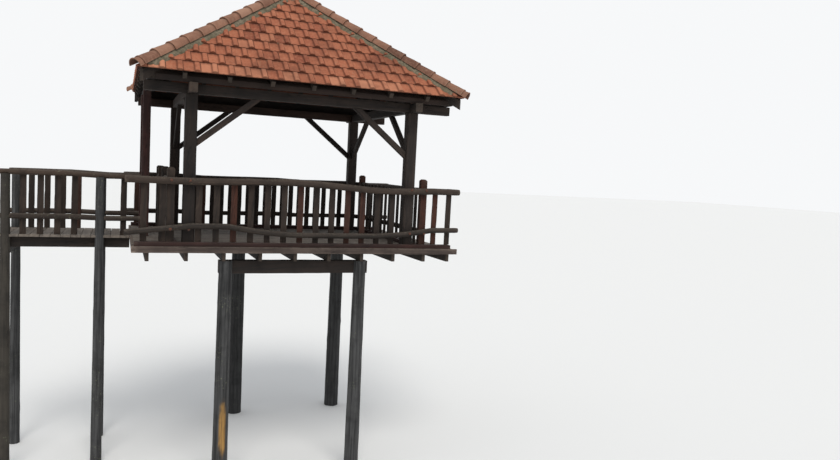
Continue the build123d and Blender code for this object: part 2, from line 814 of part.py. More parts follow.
def write_deck():
    """Stilts, beams and floor."""
    sides = (
        ("front", -1, FRONT_BEAM_XS, FRONT_STILT_XS, FRONT_STILT_RADII),
        ("back", 1, BACK_BEAM_XS, BACK_STILT_XS, BACK_STILT_RADII),
    )
    for name, side, beam_ends, places, radii in sides:
        write(f"cross_beam_{name}", [cross_beam(side, beam_ends)])
        for end, x in zip(("left", "right"), places):
            write(f"stilt_{name}_{end}", [stilt(x, side, radii)])
    write("deck_joists", deck_joists())
    write("deck_floor", deck_floor())
    write("edge_boards_long", long_edge_boards())
    write("edge_boards_short", short_edge_boards())


def write_frame(columns):
    """Columns, ties, braces and the timber roof frame."""
    write("columns", columns)
    write("tie_beams_long", tie_beams(True))
    write("tie_beams_short", tie_beams(False))
    write("knee_braces", knee_braces())
    king_post = king_post_solid()
    hips = hip_rafters(king_post)
    write("king_post", [king_post])
    write("hip_rafters", hips)
    write("eave_purlins_long", purlins(True, hips))
    write("eave_purlins_short", purlins(False, hips))
    write("rafters", [part for face in FACES.values() for part in rafters(face, king_post)])
    write("tile_battens", [part for face in FACES.values() for part in battens(face)])


def write_roof():
    """Tiles, hip caps, their mortar and the cap at the apex."""
    tiles = {name: tile_field(face) for name, face in FACES.items()}
    for name, field in tiles.items():
        write(f"tiles_{name}", [field])
    beds = []
    for y_name, y_side in (("front", -1), ("back", 1)):
        for x_name, x_side in (("left", -1), ("right", 1)):
            row = HipRow(x_side, y_side)
            caps = row.caps()
            write(f"hip_caps_{y_name}_{x_name}", caps)
            beds += row.bed([tiles[y_name], tiles[x_name]], caps)
    write("mortar_beds", beds)
    write("apex_cap", [finial()])


def write_railing(columns):
    """Posts, sills, slabs and log rails round the deck."""
    newels = newel_posts()
    write("newel_posts", newels)
    write("entry_posts", entry_posts())
    write("sills", sills(newels + columns + entry_posts()))
    slabs = {
        "front": long_slabs(-1, FRONT_SLAB_XS, FRONT_SLAB_PITCH),
        "back": long_slabs(1, (-SLAB_END_X, SLAB_END_X), BACK_SLAB_PITCH),
        "right": side_slabs(1),
        "left": side_slabs(-1),
    }
    for name, group in slabs.items():
        write(f"balusters_{name}", group)
    every = [slab for group in slabs.values() for slab in group]
    write("top_rails", hut_rails(TOP_RAIL_RISE, TOP_RAIL_RADIUS, every, TOP_RAIL_SEED,
                                 FRONT_TOP_RAIL_BENDS))
    write("low_rails", hut_rails(LOW_RAIL_RISE, LOW_RAIL_RADIUS, every, LOW_RAIL_SEED,
                                 FRONT_LOW_RAIL_BENDS))


def write_walkway():
    """The two bays of walkway on the left."""
    stilts = walk_stilts()
    slabs = walk_slabs()
    write("walkway_floor", walk_floor(stilts))
    write("walkway_bearers", walk_bearers(stilts))
    write("walkway_crosspieces", walk_crosspieces(stilts))
    write("walkway_balusters", slabs)
    tops, lows = walk_rails(slabs, stilts)
    for rail in tops:
        stilts = [post - rail for post in stilts]
    write("walkway_stilts", [max(post.solids(), key=lambda solid: solid.volume) for post in stilts])
    write("walkway_top_rails", tops)
    write("walkway_low_rails", lows)


def main():
    """Build every piece and write it."""
    os.makedirs("parts", exist_ok=True)
    columns = [column(x, y) for y in (-1, 1) for x in (-1, 1)]
    write_deck()
    write_frame(columns)
    write_roof()
    write_railing(columns)
    write_walkway()


if __name__ == "__main__":
    main()
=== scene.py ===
"""Riverside tree house: the finishes and close detail of an open timber hut on tall stilts.

Metres, +Z up. The hut's open front faces -Y and the walkway arrives from -X.
"""
import logging
import math
import random
from dataclasses import dataclass, field
from enum import Enum
from typing import Iterator

import bmesh
import bpy
import numpy as np
from mathutils import Matrix, Vector, noise
from mathutils.bvhtree import BVHTree


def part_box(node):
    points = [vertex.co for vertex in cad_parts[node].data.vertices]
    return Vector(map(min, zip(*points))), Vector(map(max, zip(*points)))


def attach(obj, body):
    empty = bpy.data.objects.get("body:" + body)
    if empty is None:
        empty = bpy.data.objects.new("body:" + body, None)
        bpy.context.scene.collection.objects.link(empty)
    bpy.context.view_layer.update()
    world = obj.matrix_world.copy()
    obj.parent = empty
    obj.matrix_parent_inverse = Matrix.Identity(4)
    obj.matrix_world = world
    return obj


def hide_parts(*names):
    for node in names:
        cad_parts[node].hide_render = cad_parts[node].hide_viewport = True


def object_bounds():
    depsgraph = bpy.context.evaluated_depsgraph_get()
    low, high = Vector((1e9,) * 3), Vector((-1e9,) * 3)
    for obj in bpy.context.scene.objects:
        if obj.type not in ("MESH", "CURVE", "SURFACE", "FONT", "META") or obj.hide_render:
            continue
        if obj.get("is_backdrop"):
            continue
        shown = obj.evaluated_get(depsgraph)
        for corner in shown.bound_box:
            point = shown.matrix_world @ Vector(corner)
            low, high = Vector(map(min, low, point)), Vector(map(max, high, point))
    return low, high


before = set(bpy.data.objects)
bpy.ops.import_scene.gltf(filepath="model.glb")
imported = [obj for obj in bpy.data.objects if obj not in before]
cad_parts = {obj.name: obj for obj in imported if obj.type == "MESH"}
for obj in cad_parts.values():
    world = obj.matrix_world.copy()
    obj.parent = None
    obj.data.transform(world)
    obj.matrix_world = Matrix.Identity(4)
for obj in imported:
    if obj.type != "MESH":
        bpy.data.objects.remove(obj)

CAD_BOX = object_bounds()
BODY = "root"
IMAGE_WIDTH = 840
SENSOR_WIDTH = 36.0
UP = Vector((0.0, 0.0, 1.0))
EAST = Vector((1.0, 0.0, 0.0))
NORTH = Vector((0.0, 1.0, 0.0))
PATTERNS = 40
WELD = 0.00005
PATTERN_SHIFTS = (17.3, 5.1, 9.7)
AT_GROUND = 0.001
NEARLY_UPRIGHT = 0.05
LOG_SMOOTH = 60.0

Colour = tuple[float, float, float]
Ways = tuple[Vector, Vector]

log = logging.getLogger("tree_house")


def new_pattern(chance: random.Random) -> float:
    """Choose a noise pattern of its own for one member."""
    return chance.uniform(0, PATTERNS)


class Slot(Enum):
    """The record's material slots."""

    DARK_TIMBER = "dark_timber"
    GREY_BOARDS = "grey_boards"
    RED_TIMBER = "red_timber"
    PEELED_LOG = "peeled_log"
    CLAY_TILE = "clay_tile"
    CLAY_CAP = "clay_cap"
    MORTAR = "mortar"


class Side(Enum):
    """The four sides of the hut, with the turn of each from the front."""

    FRONT = 0
    RIGHT = 90
    BACK = 180
    LEFT = 270


def linear(red: int, green: int, blue: int) -> Colour:
    """Turn a display colour into a linear one.

    Args:
        red: Red from 0 to 255.
        green: Green from 0 to 255.
        blue: Blue from 0 to 255.

    Returns:
        The colour as linear red, green and blue.
    """
    return tuple(((value / 255 + 0.055) / 1.055) ** 2.4 for value in (red, green, blue))


# Shader building


class Graph:
    """Adds and joins shader nodes in one tree."""

    def __init__(self, tree: bpy.types.NodeTree) -> None:
        """Start on a tree.

        Args:
            tree: The node tree to add to.
        """
        self.tree = tree

    def add(self, kind: str, inputs: dict | None = None, **settings: object) -> bpy.types.Node:
        """Add one node.

        Args:
            kind: The node's type name without its ShaderNode prefix.
            inputs: Values or sockets for its inputs, by name or number.
            **settings: Properties set on the node.

        Returns:
            The new node.
        """
        node = self.tree.nodes.new("ShaderNode" + kind)
        for key, value in settings.items():
            setattr(node, key, value)
        for key, value in (inputs or {}).items():
            self.feed(node.inputs[key], value)
        return node

    def feed(self, socket: bpy.types.NodeSocket, value: object) -> None:
        """Give an input a link, a colour or a number.

        Args:
            socket: The input to set.
            value: An output socket, a colour or a number.
        """
        if isinstance(value, bpy.types.NodeSocket):
            self.tree.links.new(value, socket)
        elif socket.type == "RGBA":
            socket.default_value = (*value, 1.0)
        else:
            socket.default_value = value

    def noise(self, vector: object, scale: object, detail: float = 3.0,
              rough: float = 0.55) -> bpy.types.NodeSocket:
        """Soft noise from 0 to 1.

        Args:
            vector: Where to read it.
            scale: Its scale, as a number or a socket.
            detail: How many finer layers it has.
            rough: How strong the finer layers are.

        Returns:
            The noise value socket.
        """
        inputs = {"Vector": vector, "Scale": scale, "Detail": detail, "Roughness": rough}
        return self.add("TexNoise", inputs).outputs["Fac"]

    def stretch(self, vector: object, scale: tuple[float, float, float]) -> bpy.types.NodeSocket:
        """Scale a vector by a different amount each way.

        Args:
            vector: The vector socket.
            scale: The three factors.

        Returns:
            The scaled vector socket.
        """
        node = self.add("VectorMath", {0: vector, 1: scale}, operation="MULTIPLY")
        return node.outputs["Vector"]

    def math(self, operation: str, first: object, second: object = 0.0,
             clamp: bool = False) -> bpy.types.NodeSocket:
        """One sum on two numbers.

        Args:
            operation: The Math node's operation.
            first: The first number or socket.
            second: The second number or socket.
            clamp: Whether the result is held from 0 to 1.

        Returns:
            The result socket.
        """
        node = self.add("Math", {0: first, 1: second}, operation=operation, use_clamp=clamp)
        return node.outputs["Value"]

    def share(self, value: object, factor: object) -> bpy.types.NodeSocket:
        """A share of a value: the two multiplied."""
        return self.math("MULTIPLY", value, factor)

    def band(self, value: object, low: float, high: float) -> bpy.types.NodeSocket:
        """Spread a value so that low becomes 0 and high becomes 1.

        Args:
            value: The value socket.
            low: The value that becomes 0.
            high: The value that becomes 1.

        Returns:
            The spread value socket.
        """
        inputs = {"Value": value, "From Min": low, "From Max": high}
        return self.add("MapRange", inputs, interpolation_type="SMOOTHSTEP").outputs["Result"]

    def mix(self, amount: object, first: object, second: object, blend: str = "MIX") -> bpy.types.NodeSocket:
        """Mix two colours.

        Args:
            amount: How much of the second there is.
            first: The first colour or socket.
            second: The second colour or socket.
            blend: The blend mode.

        Returns:
            The mixed colour socket.
        """
        node = self.add("Mix", data_type="RGBA", blend_type=blend)
        self.feed(node.inputs[0], amount)
        self.feed(node.inputs[6], first)
        self.feed(node.inputs[7], second)
        return node.outputs[2]

    def attribute(self, name: str, output: str = "Fac") -> bpy.types.NodeSocket:
        """Read a mesh attribute.

        Args:
            name: The attribute's name.
            output: Which output of the node to use.

        Returns:
            The chosen output socket.
        """
        return self.add("Attribute", attribute_name=name).outputs[output]

    def bump(self, height: object, strength: float, distance: float) -> bpy.types.NodeSocket:
        """Turn a height into a bumped normal.

        Args:
            height: The height socket.
            strength: How strong the bump is.
            distance: The depth of the bump in metres.

        Returns:
            The normal socket.
        """
        inputs = {"Height": height, "Strength": strength, "Distance": distance}
        return self.add("Bump", inputs).outputs["Normal"]

    def group(self, name: str, inputs: dict | None = None) -> bpy.types.Node:
        """Place a shader group.

        Args:
            name: The group's name.
            inputs: Values or sockets for its inputs.

        Returns:
            The group node.
        """
        return self.add("Group", inputs, node_tree=bpy.data.node_groups[name])


def start_group(name: str, inputs: dict[str, str],
                outputs: dict[str, str]) -> tuple[Graph, dict, bpy.types.Node]:
    """Start a shader group with named sockets.

    Args:
        name: The group's name.
        inputs: Socket kinds by input name.
        outputs: Socket kinds by output name.

    Returns:
        The graph, the input sockets by name and the output node.
    """
    tree = bpy.data.node_groups.new(name, "ShaderNodeTree")
    for key, kind in inputs.items():
        tree.interface.new_socket(name=key, in_out="INPUT", socket_type=kind)
    for key, kind in outputs.items():
        tree.interface.new_socket(name=key, in_out="OUTPUT", socket_type=kind)
    start = tree.nodes.new("NodeGroupInput")
    end = tree.nodes.new("NodeGroupOutput")
    return Graph(tree), {key: start.outputs[key] for key in inputs}, end


NUMBER = "NodeSocketFloat"
VECTOR = "NodeSocketVector"


def grain_group() -> None:
    """Wood grain read along a board: pale streaks, drying cracks and a height."""
    graph, given, end = start_group(
        "wood_grain", {"Board": VECTOR, "Cracks": NUMBER},
        {"Streaks": NUMBER, "Cracks": NUMBER, "Height": NUMBER})

    def along(length: float, width: float, detail: float = 3.0, rough: float = 0.55) -> bpy.types.NodeSocket:
        """Noise drawn out along the board, with its scales along and across."""
        return graph.noise(graph.stretch(given["Board"], (length, width, width)), 1.0, detail, rough)

    fine = along(3.0, 90.0, 4.0, 0.6)
    broad = along(0.9, 18.0, 3.0, 0.5)
    streaks = graph.math("ADD", graph.share(fine, 0.45), graph.share(broad, 0.55))
    split = along(1.4, 46.0, 2.0, 0.35)
    off_middle = graph.math("ABSOLUTE", graph.math("SUBTRACT", split, 0.5))
    line = graph.math("SUBTRACT", 1.0, graph.band(off_middle, 0.0, 0.03))
    where = graph.band(along(1.1, 5.0), 0.5, 0.62)
    cracks = graph.math("MULTIPLY", graph.share(line, where), given["Cracks"], clamp=True)
    height = graph.math("SUBTRACT", graph.share(streaks, 0.6), cracks)
    graph.feed(end.inputs["Streaks"], graph.band(streaks, 0.3, 0.7))
    graph.feed(end.inputs["Cracks"], cracks)
    graph.feed(end.inputs["Height"], height)


def wear_group() -> None:
    """Rubbed edges, from how sharply the surface turns."""
    graph, given, end = start_group("edge_wear", {"Breakup": NUMBER}, {"Edges": NUMBER})
    geometry = graph.add("NewGeometry")
    sharp = graph.band(geometry.outputs["Pointiness"], 0.51, 0.58)
    ragged = graph.band(graph.noise(geometry.outputs["Position"], 14.0, 4.0, 0.7), 0.35, 0.62)
    edges = graph.math("MULTIPLY", graph.share(sharp, ragged), given["Breakup"], clamp=True)
    graph.feed(end.inputs["Edges"], edges)


def grime_group() -> None:
    """Blotchy damp stains, dust on what faces up, and specks of lichen."""
    graph, given, end = start_group(
        "grime", {"Size": NUMBER}, {"Stains": NUMBER, "Dust": NUMBER, "Lichen": NUMBER})
    geometry = graph.add("NewGeometry")
    place = geometry.outputs["Position"]
    blotch = graph.noise(place, given["Size"], 5.0, 0.62)
    facing = graph.add("SeparateXYZ", {0: geometry.outputs["Normal"]}).outputs["Z"]
    speck = graph.noise(place, 34.0, 4.0, 0.7)
    patch = graph.noise(place, 2.3, 3.0, 0.5)
    dust = graph.share(graph.band(facing, 0.25, 0.95), graph.band(speck, 0.32, 0.66))
    lichen = graph.share(graph.band(speck, 0.58, 0.66), graph.band(patch, 0.5, 0.64))
    graph.feed(end.inputs["Stains"], graph.band(blotch, 0.42, 0.68))
    graph.feed(end.inputs["Dust"], dust)
    graph.feed(end.inputs["Lichen"], lichen)


def new_material(name: str) -> tuple[bpy.types.Material, Graph, bpy.types.Node]:
    """Make an empty material.

    Args:
        name: The material's name.

    Returns:
        The material, its graph and its Principled shader.
    """
    material = bpy.data.materials.new(name)
    material.use_nodes = True
    tree = material.node_tree
    tree.nodes.clear()
    graph = Graph(tree)
    shader = graph.add("BsdfPrincipled")
    output = graph.add("OutputMaterial")
    tree.links.new(shader.outputs["BSDF"], output.inputs["Surface"])
    return material, graph, shader


def deeper(colour: Colour, share: float) -> Colour:
    """The same colour with a share of its light."""
    return tuple(share * part for part in colour)


LICHEN_ON_WOOD = linear(128, 132, 104)


@dataclass(frozen=True)
class TimberFinish:
    """Weathered wood, whose grain follows each member."""

    name: str
    deep: Colour
    pale: Colour
    alternate: Colour
    worn: Colour
    dust: Colour
    cracks: float = 1.0
    wear: float = 0.7
    dusting: float = 0.5
    lichen: float = 0.0
    staining: float = 0.45
    end_wear: float = 0.3
    edge_wear: float = 0.8
    roughness: float = 0.74
    streak_roughness: float = 0.14
    sheen: float = 0.3
    relief: float = 0.55
    relief_depth: float = 0.004
    stain_size: float = 3.2
    crack_depth: float = 0.22
    stain_depth: float = 0.5
    alternate_depth: float = 0.55
    darkest_member: float = 0.68
    member_range: float = 0.6
    peeled: Colour | None = None

    def build(self) -> bpy.types.Material:
        """Make the material.

        Returns:
            The finished material.
        """
        material, graph, shader = new_material(self.name)
        inputs = {"Board": graph.attribute("board", "Vector"), "Cracks": self.cracks}
        grain = graph.group("wood_grain", inputs)
        streaks = grain.outputs["Streaks"]
        wood = self.weather(graph, self.wood(graph, streaks))
        wood = graph.mix(grain.outputs["Cracks"], wood, deeper(self.deep, self.crack_depth))
        graph.feed(shader.inputs["Base Color"], wood)
        streak = graph.share(streaks, self.streak_roughness)
        graph.feed(shader.inputs["Roughness"], graph.math("ADD", self.roughness, streak, clamp=True))
        shader.inputs["Specular IOR Level"].default_value = self.sheen
        relief = graph.bump(grain.outputs["Height"], self.relief, self.relief_depth)
        graph.feed(shader.inputs["Normal"], relief)
        return material

    def wood(self, graph: Graph, streaks: bpy.types.NodeSocket) -> bpy.types.NodeSocket:
        """Colour the bare wood, with each member a little different.

        Args:
            graph: The material's graph.
            streaks: The grain's streaks.

        Returns:
            The wood's colour socket.
        """
        tint = graph.attribute("tint")
        wood = graph.mix(streaks, self.deep, self.pale)
        other = graph.mix(streaks, deeper(self.alternate, self.alternate_depth), self.alternate)
        wood = graph.mix(graph.band(tint, 0.55, 0.95), wood, other)
        scatter = graph.math("FRACT", graph.share(tint, 7.3))
        shade = graph.math("ADD", self.darkest_member, graph.share(scatter, self.member_range))
        brightness = graph.add("CombineColor", {0: shade, 1: shade, 2: shade}).outputs[0]
        wood = graph.mix(1.0, wood, brightness, "MULTIPLY")
        if self.peeled is not None:
            bare = graph.mix(streaks, self.worn, self.peeled)
            wood = graph.mix(graph.attribute("peeled"), wood, bare)
        return wood

    def weather(self, graph: Graph, wood: bpy.types.NodeSocket) -> bpy.types.NodeSocket:
        """Stain, rub and dust the wood.

        Args:
            graph: The material's graph.
            wood: The wood's colour socket.

        Returns:
            The weathered colour socket.
        """
        wear = graph.group("edge_wear", {"Breakup": self.wear})
        grime = graph.group("grime", {"Size": self.stain_size})
        stained = deeper(self.deep, self.stain_depth)
        wood = graph.mix(graph.share(grime.outputs["Stains"], self.staining), wood, stained)
        wood = graph.mix(graph.share(graph.attribute("end"), self.end_wear), wood, self.worn)
        wood = graph.mix(graph.share(wear.outputs["Edges"], self.edge_wear), wood, self.worn)
        wood = graph.mix(graph.share(grime.outputs["Dust"], self.dusting), wood, self.dust)
        if self.lichen:
            wood = graph.mix(graph.share(grime.outputs["Lichen"], self.lichen), wood, LICHEN_ON_WOOD)
        return wood


@dataclass(frozen=True)
class ClayFinish:
    """Fired clay whose colour changes from piece to piece, with sooty stains, lichen and painted shade where
    pieces overlap.

    The roughness rises with the grit, from the grit value smooth_at to 1.
    """

    name: str
    warm: Colour
    pale: Colour
    dark: Colour
    # This colour paints both the sooty stains and the painted shade.
    soot_and_shade: Colour
    lichen: Colour
    sooting_and_shading: float = 0.6
    stain_share: float = 0.55
    lichening: float = 0.5
    mottling: float = 0.42
    gritting: float = 0.35
    wear: float = 0.6
    edge_wear: float = 0.5
    smooth_at: float = -3.52
    sheen: float = 0.25
    relief: float = 0.35
    relief_depth: float = 0.003
    stain_size: float = 1.9

    def build(self) -> bpy.types.Material:
        """Make the material.

        Returns:
            The finished material.
        """
        material, graph, shader = new_material(self.name)
        place = graph.add("NewGeometry").outputs["Position"]
        tint = graph.attribute("tint")
        mottle = graph.noise(place, 22.0, 5.0, 0.65)
        grit = graph.noise(place, 160.0, 3.0, 0.6)
        wear = graph.group("edge_wear", {"Breakup": self.wear})
        grime = graph.group("grime", {"Size": self.stain_size})
        clay = graph.mix(graph.band(tint, 0.0, 0.6), self.dark, self.warm)
        clay = graph.mix(graph.band(tint, 0.6, 1.0), clay, self.pale)
        clay = graph.mix(graph.share(graph.band(mottle, 0.4, 0.7), self.mottling), clay, self.pale)
        clay = graph.mix(graph.share(graph.band(grit, 0.58, 0.75), self.gritting), clay, self.dark)
        staining = self.sooting_and_shading * self.stain_share
        clay = graph.mix(graph.share(grime.outputs["Stains"], staining), clay, self.soot_and_shade)
        # Painted shade: laps, joints, tile noses and undersides are darkened, where shade falls.
        clay = graph.mix(graph.share(graph.attribute("shelter"), self.sooting_and_shading), clay, self.soot_and_shade)
        clay = graph.mix(graph.share(wear.outputs["Edges"], self.edge_wear), clay, self.pale)
        clay = graph.mix(graph.share(grime.outputs["Lichen"], self.lichening), clay, self.lichen)
        graph.feed(shader.inputs["Base Color"], clay)
        graph.feed(shader.inputs["Roughness"], graph.band(grit, self.smooth_at, 1.0))
        shader.inputs["Specular IOR Level"].default_value = self.sheen
        height = graph.math("ADD", graph.share(grit, 0.3), graph.share(mottle, 0.7))
        graph.feed(shader.inputs["Normal"], graph.bump(height, self.relief, self.relief_depth))
        return material


@dataclass(frozen=True)
class MortarFinish:
    """Sandy lime mortar, stained and lumpy.

    The roughness rises with the sand, from the sand value smooth_at to 1.
    """

    name: str
    pale: Colour
    dark: Colour
    moss: Colour
    sanding: float = 0.4
    mossing: float = 0.6
    smooth_at: float = -6.0
    relief: float = 0.6
    relief_depth: float = 0.006
    stain_size: float = 4.0

    def build(self) -> bpy.types.Material:
        """Make the material.

        Returns:
            The finished material.
        """
        material, graph, shader = new_material(self.name)
        place = graph.add("NewGeometry").outputs["Position"]
        sand = graph.noise(place, 210.0, 3.0, 0.7)
        lump = graph.noise(place, 26.0, 5.0, 0.6)
        grime = graph.group("grime", {"Size": self.stain_size})
        colour = graph.mix(graph.band(lump, 0.35, 0.68), self.dark, self.pale)
        colour = graph.mix(graph.share(graph.band(sand, 0.5, 0.75), self.sanding), colour, self.dark)
        colour = graph.mix(graph.share(grime.outputs["Stains"], self.mossing), colour, self.moss)
        graph.feed(shader.inputs["Base Color"], colour)
        graph.feed(shader.inputs["Roughness"], graph.band(sand, self.smooth_at, 1.0))
        height = graph.math("ADD", graph.share(sand, 0.35), lump)
        graph.feed(shader.inputs["Normal"], graph.bump(height, self.relief, self.relief_depth))
        return material


@dataclass(frozen=True)
class IronFinish:
    """Old bolt iron, dark with rust."""

    name: str
    iron: Colour
    rust: Colour
    clean_roughness: float = 0.45
    rust_roughness: float = 0.4
    clean_metal: float = 0.9
    rust_loss: float = 0.8

    def build(self) -> bpy.types.Material:
        """Make the material.

        Returns:
            The finished material.
        """
        material, graph, shader = new_material(self.name)
        place = graph.add("NewGeometry").outputs["Position"]
        bloom = graph.band(graph.noise(place, 90.0, 4.0, 0.7), 0.42, 0.6)
        roughness = graph.math("ADD", self.clean_roughness, graph.share(bloom, self.rust_roughness))
        metal = graph.math("SUBTRACT", self.clean_metal, graph.share(bloom, self.rust_loss))
        graph.feed(shader.inputs["Base Color"], graph.mix(bloom, self.iron, self.rust))
        graph.feed(shader.inputs["Roughness"], roughness)
        graph.feed(shader.inputs["Metallic"], metal)
        return material


DULL_WORN = linear(76, 66, 57)

FINISHES = (
    TimberFinish("old_dark_timber", linear(25, 21, 19), linear(52, 43, 38), linear(60, 43, 35),
                 DULL_WORN, linear(64, 59, 54), dusting=0.3, wear=0.5),
    TimberFinish("grey_planks", linear(62, 57, 54), linear(112, 104, 98), linear(94, 82, 74),
                 linear(128, 118, 108), linear(120, 112, 102), dusting=0.45),
    TimberFinish("worn_edge_board", linear(62, 52, 48), linear(106, 92, 84), linear(92, 71, 64),
                 linear(156, 140, 126), linear(124, 113, 102), wear=1.0),
    TimberFinish("red_stained_timber", linear(38, 23, 21), linear(70, 42, 38), linear(62, 44, 38),
                 linear(92, 74, 66), linear(78, 66, 60), dusting=0.35),
    TimberFinish("split_slabs", linear(27, 22, 19), linear(57, 46, 39), linear(82, 47, 35),
                 linear(82, 69, 59), linear(70, 62, 54), dusting=0.25, cracks=0.8),
    TimberFinish("rail_log", linear(32, 27, 24), linear(70, 60, 53), linear(68, 54, 45),
                 linear(96, 85, 75), linear(90, 82, 74), dusting=0.6, lichen=0.3),
    TimberFinish("stilt_log", linear(23, 23, 24), linear(78, 78, 78), linear(74, 69, 62),
                 linear(104, 80, 52), linear(84, 84, 82), wear=0.0, lichen=0.5,
                 peeled=linear(180, 138, 76)),
    ClayFinish("clay_tiles", linear(160, 96, 70), linear(186, 126, 97), linear(134, 73, 53),
               linear(60, 34, 28), linear(142, 130, 104), sooting_and_shading=0.8),
    ClayFinish("clay_hip_caps", linear(140, 101, 82), linear(162, 126, 105), linear(108, 75, 61),
               linear(66, 45, 38), linear(124, 120, 100), lichening=0.9),
    MortarFinish("hip_mortar", linear(132, 121, 101), linear(92, 84, 68), linear(82, 78, 58)),
    IronFinish("bolt_iron", linear(60, 56, 54), linear(112, 62, 40)),
)


# Mesh building


@dataclass
class Shape:
    """A growing mesh, with the values that its finish reads."""

    points: list[Vector] = field(default_factory=list)
    faces: list[tuple[int, ...]] = field(default_factory=list)
    board: list[Vector] = field(default_factory=list)
    tint: list[float] = field(default_factory=list)
    shelter: list[float] = field(default_factory=list)
    peeled: list[float] = field(default_factory=list)
    end: list[float] = field(default_factory=list)
    end_facing: float = 0.8

    def add_points(self, points: list[Vector], board: list[Vector], tint: float,
                   shelter: list[float] | None = None, peeled: list[float] | None = None) -> int:
        """Add points with their finish values.

        Args:
            points: The places.
            board: Each point's place along, across and through its own member.
            tint: The member's colour number from 0 to 1.
            shelter: How much painted shade each point gets, in laps, joints and undersides.
            peeled: How bare of bark each point is.

        Returns:
            The number of the first new point.
        """
        first = len(self.points)
        self.points += points
        self.board += board
        self.tint += [tint] * len(points)
        self.shelter += shelter or [0.0] * len(points)
        self.peeled += peeled or [0.0] * len(points)
        return first

    def add_faces(self, faces: list[tuple[int, ...]], first: int, end: float = 0.0) -> None:
        """Add faces.

        Args:
            faces: The faces, counted from the first point.
            first: The number of the first point.
            end: 1 where the faces cut across the grain.
        """
        self.faces += [tuple(index + first for index in face) for face in faces]
        self.end += [end] * len(faces)

    def tube(self, rings: list[list[Vector]], board: list[list[Vector]], tint: float,
             peeled: list[list[float]] | None = None, shelter: list[list[float]] | None = None) -> None:
        """Skin closed rings and close both ends.

        Args:
            rings: Rings of points, all with the same count.
            board: The finish places in the same order.
            tint: The member's colour number.
            peeled: How bare of bark each point is.
            shelter: How much painted shade each point gets, in laps, joints and undersides.
        """
        count = len(rings[0])
        flat = [point for ring in rings for point in ring]
        places = [place for ring in board for place in ring]
        bare = [value for ring in peeled for value in ring] if peeled else None
        lap = [value for ring in shelter for value in ring] if shelter else None
        first = self.add_points(flat, places, tint, lap, bare)
        walls = []
        for row in range(len(rings) - 1):
            for step in range(count):
                a, b = row * count + step, row * count + (step + 1) % count
                walls.append((a, b, b + count, a + count))
        self.add_faces(walls, first)
        last = (len(rings) - 1) * count
        self.add_faces([tuple(range(count - 1, -1, -1)), tuple(range(last, last + count))], first, 1.0)

    def take(self, work: bmesh.types.BMesh, board: list[Vector], tint: float, axis: Vector) -> None:
        """Add a worked mesh and free it.

        Args:
            work: The mesh.
            board: The finish place of each vertex.
            tint: The member's colour number.
            axis: The way its grain runs.
        """
        work.verts.index_update()
        work.normal_update()
        first = self.add_points([vert.co.copy() for vert in work.verts], board, tint)
        for face in work.faces:
            self.faces.append(tuple(vert.index + first for vert in face.verts))
            self.end.append(1.0 if abs(face.normal.dot(axis)) > self.end_facing else 0.0)
        work.free()

    def piece(self, name: str, finish: str, slot: Slot, nodes: tuple[str, ...],
              smooth: float = 40.0) -> bpy.types.Object:
        """Turn the shape into a finished piece that stands for its nodes.

        Args:
            name: The piece's name.
            finish: The name of its material.
            slot: Not used.
            nodes: The nodes that it stands for.
            smooth: The angle in degrees under which edges are smooth.

        Returns:
            The new object.
        """
        mesh = bpy.data.meshes.new(name)
        mesh.from_pydata([tuple(point) for point in self.points], [], self.faces)
        board = mesh.attributes.new("board", "FLOAT_VECTOR", "POINT").data
        board.foreach_set("vector", np.asarray(self.board, np.float32).ravel())
        for key, domain in (("tint", "POINT"), ("shelter", "POINT"), ("peeled", "POINT"), ("end", "FACE")):
            values = mesh.attributes.new(key, "FLOAT", domain).data
            values.foreach_set("value", np.asarray(getattr(self, key), np.float32))
        work = bmesh.new()
        work.from_mesh(mesh)
        bmesh.ops.recalc_face_normals(work, faces=work.faces)
        work.to_mesh(mesh)
        work.free()
        mesh.polygons.foreach_set("use_smooth", [True] * len(mesh.polygons))
        mesh.set_sharp_from_angle(angle=math.radians(smooth))
        mesh.update()
        mesh.materials.append(bpy.data.materials[finish])
        item = bpy.data.objects.new(name, mesh)
        bpy.context.scene.collection.objects.link(item)
        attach(item, BODY)
        if nodes:
            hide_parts(*nodes)
        log.info("%s: %d faces", name, len(mesh.polygons))
        return item


def islands(node: str) -> list[bmesh.types.BMesh]:
    """Split a node's mesh into its separate members.

    Args:
        node: The node's name.

    Returns:
        One mesh for each member, with flat faces joined up.
    """
    whole = bmesh.new()
    whole.from_mesh(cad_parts[node].data)
    bmesh.ops.remove_doubles(whole, verts=whole.verts, dist=WELD)
    whole.verts.ensure_lookup_table()
    seen: set[int] = set()
    parts = []
    for vert in whole.verts:
        if vert.index in seen:
            continue
        group, queue = [], [vert]
        seen.add(vert.index)
        while queue:
            here = queue.pop()
            group.append(here)
            for edge in here.link_edges:
                other = edge.other_vert(here)
                if other.index not in seen:
                    seen.add(other.index)
                    queue.append(other)
        part = bmesh.new()
        made = {here: part.verts.new(here.co) for here in group}
        for face in dict.fromkeys(face for here in group for face in here.link_faces):
            part.faces.new([made[corner] for corner in face.verts])
        parts.append(part)
    whole.free()
    return parts


def span(points: list[Vector], axis: Vector) -> tuple[float, float]:
    """The lowest and highest place of points along an axis.

    Args:
        points: The points.
        axis: The axis.

    Returns:
        The two places.
    """
    places = [point.dot(axis) for point in points]
    return min(places), max(places)


def member_axes(work: bmesh.types.BMesh) -> tuple[Vector, Vector, Vector]:
    """The way a member runs, its way across and its way through.

    Args:
        work: The member's mesh.

    Returns:
        Three unit vectors.
    """
    longest = max(work.edges, key=lambda edge: edge.calc_length())
    along = (longest.verts[1].co - longest.verts[0].co).normalized()
    across = along.cross(UP)
    across = EAST.copy() if across.length < NEARLY_UPRIGHT else across.normalized()
    return along, across, along.cross(across).normalized()


def drift(place: Vector, scale: float, seed: float) -> float:
    """Smooth noise from -1 to 1 at a place.

    Args:
        place: Where to read it.
        scale: How fine it is.
        seed: Which pattern it is.

    Returns:
        The noise value.
    """
    return noise.noise(place * scale + Vector([seed * shift for shift in PATTERN_SHIFTS]))


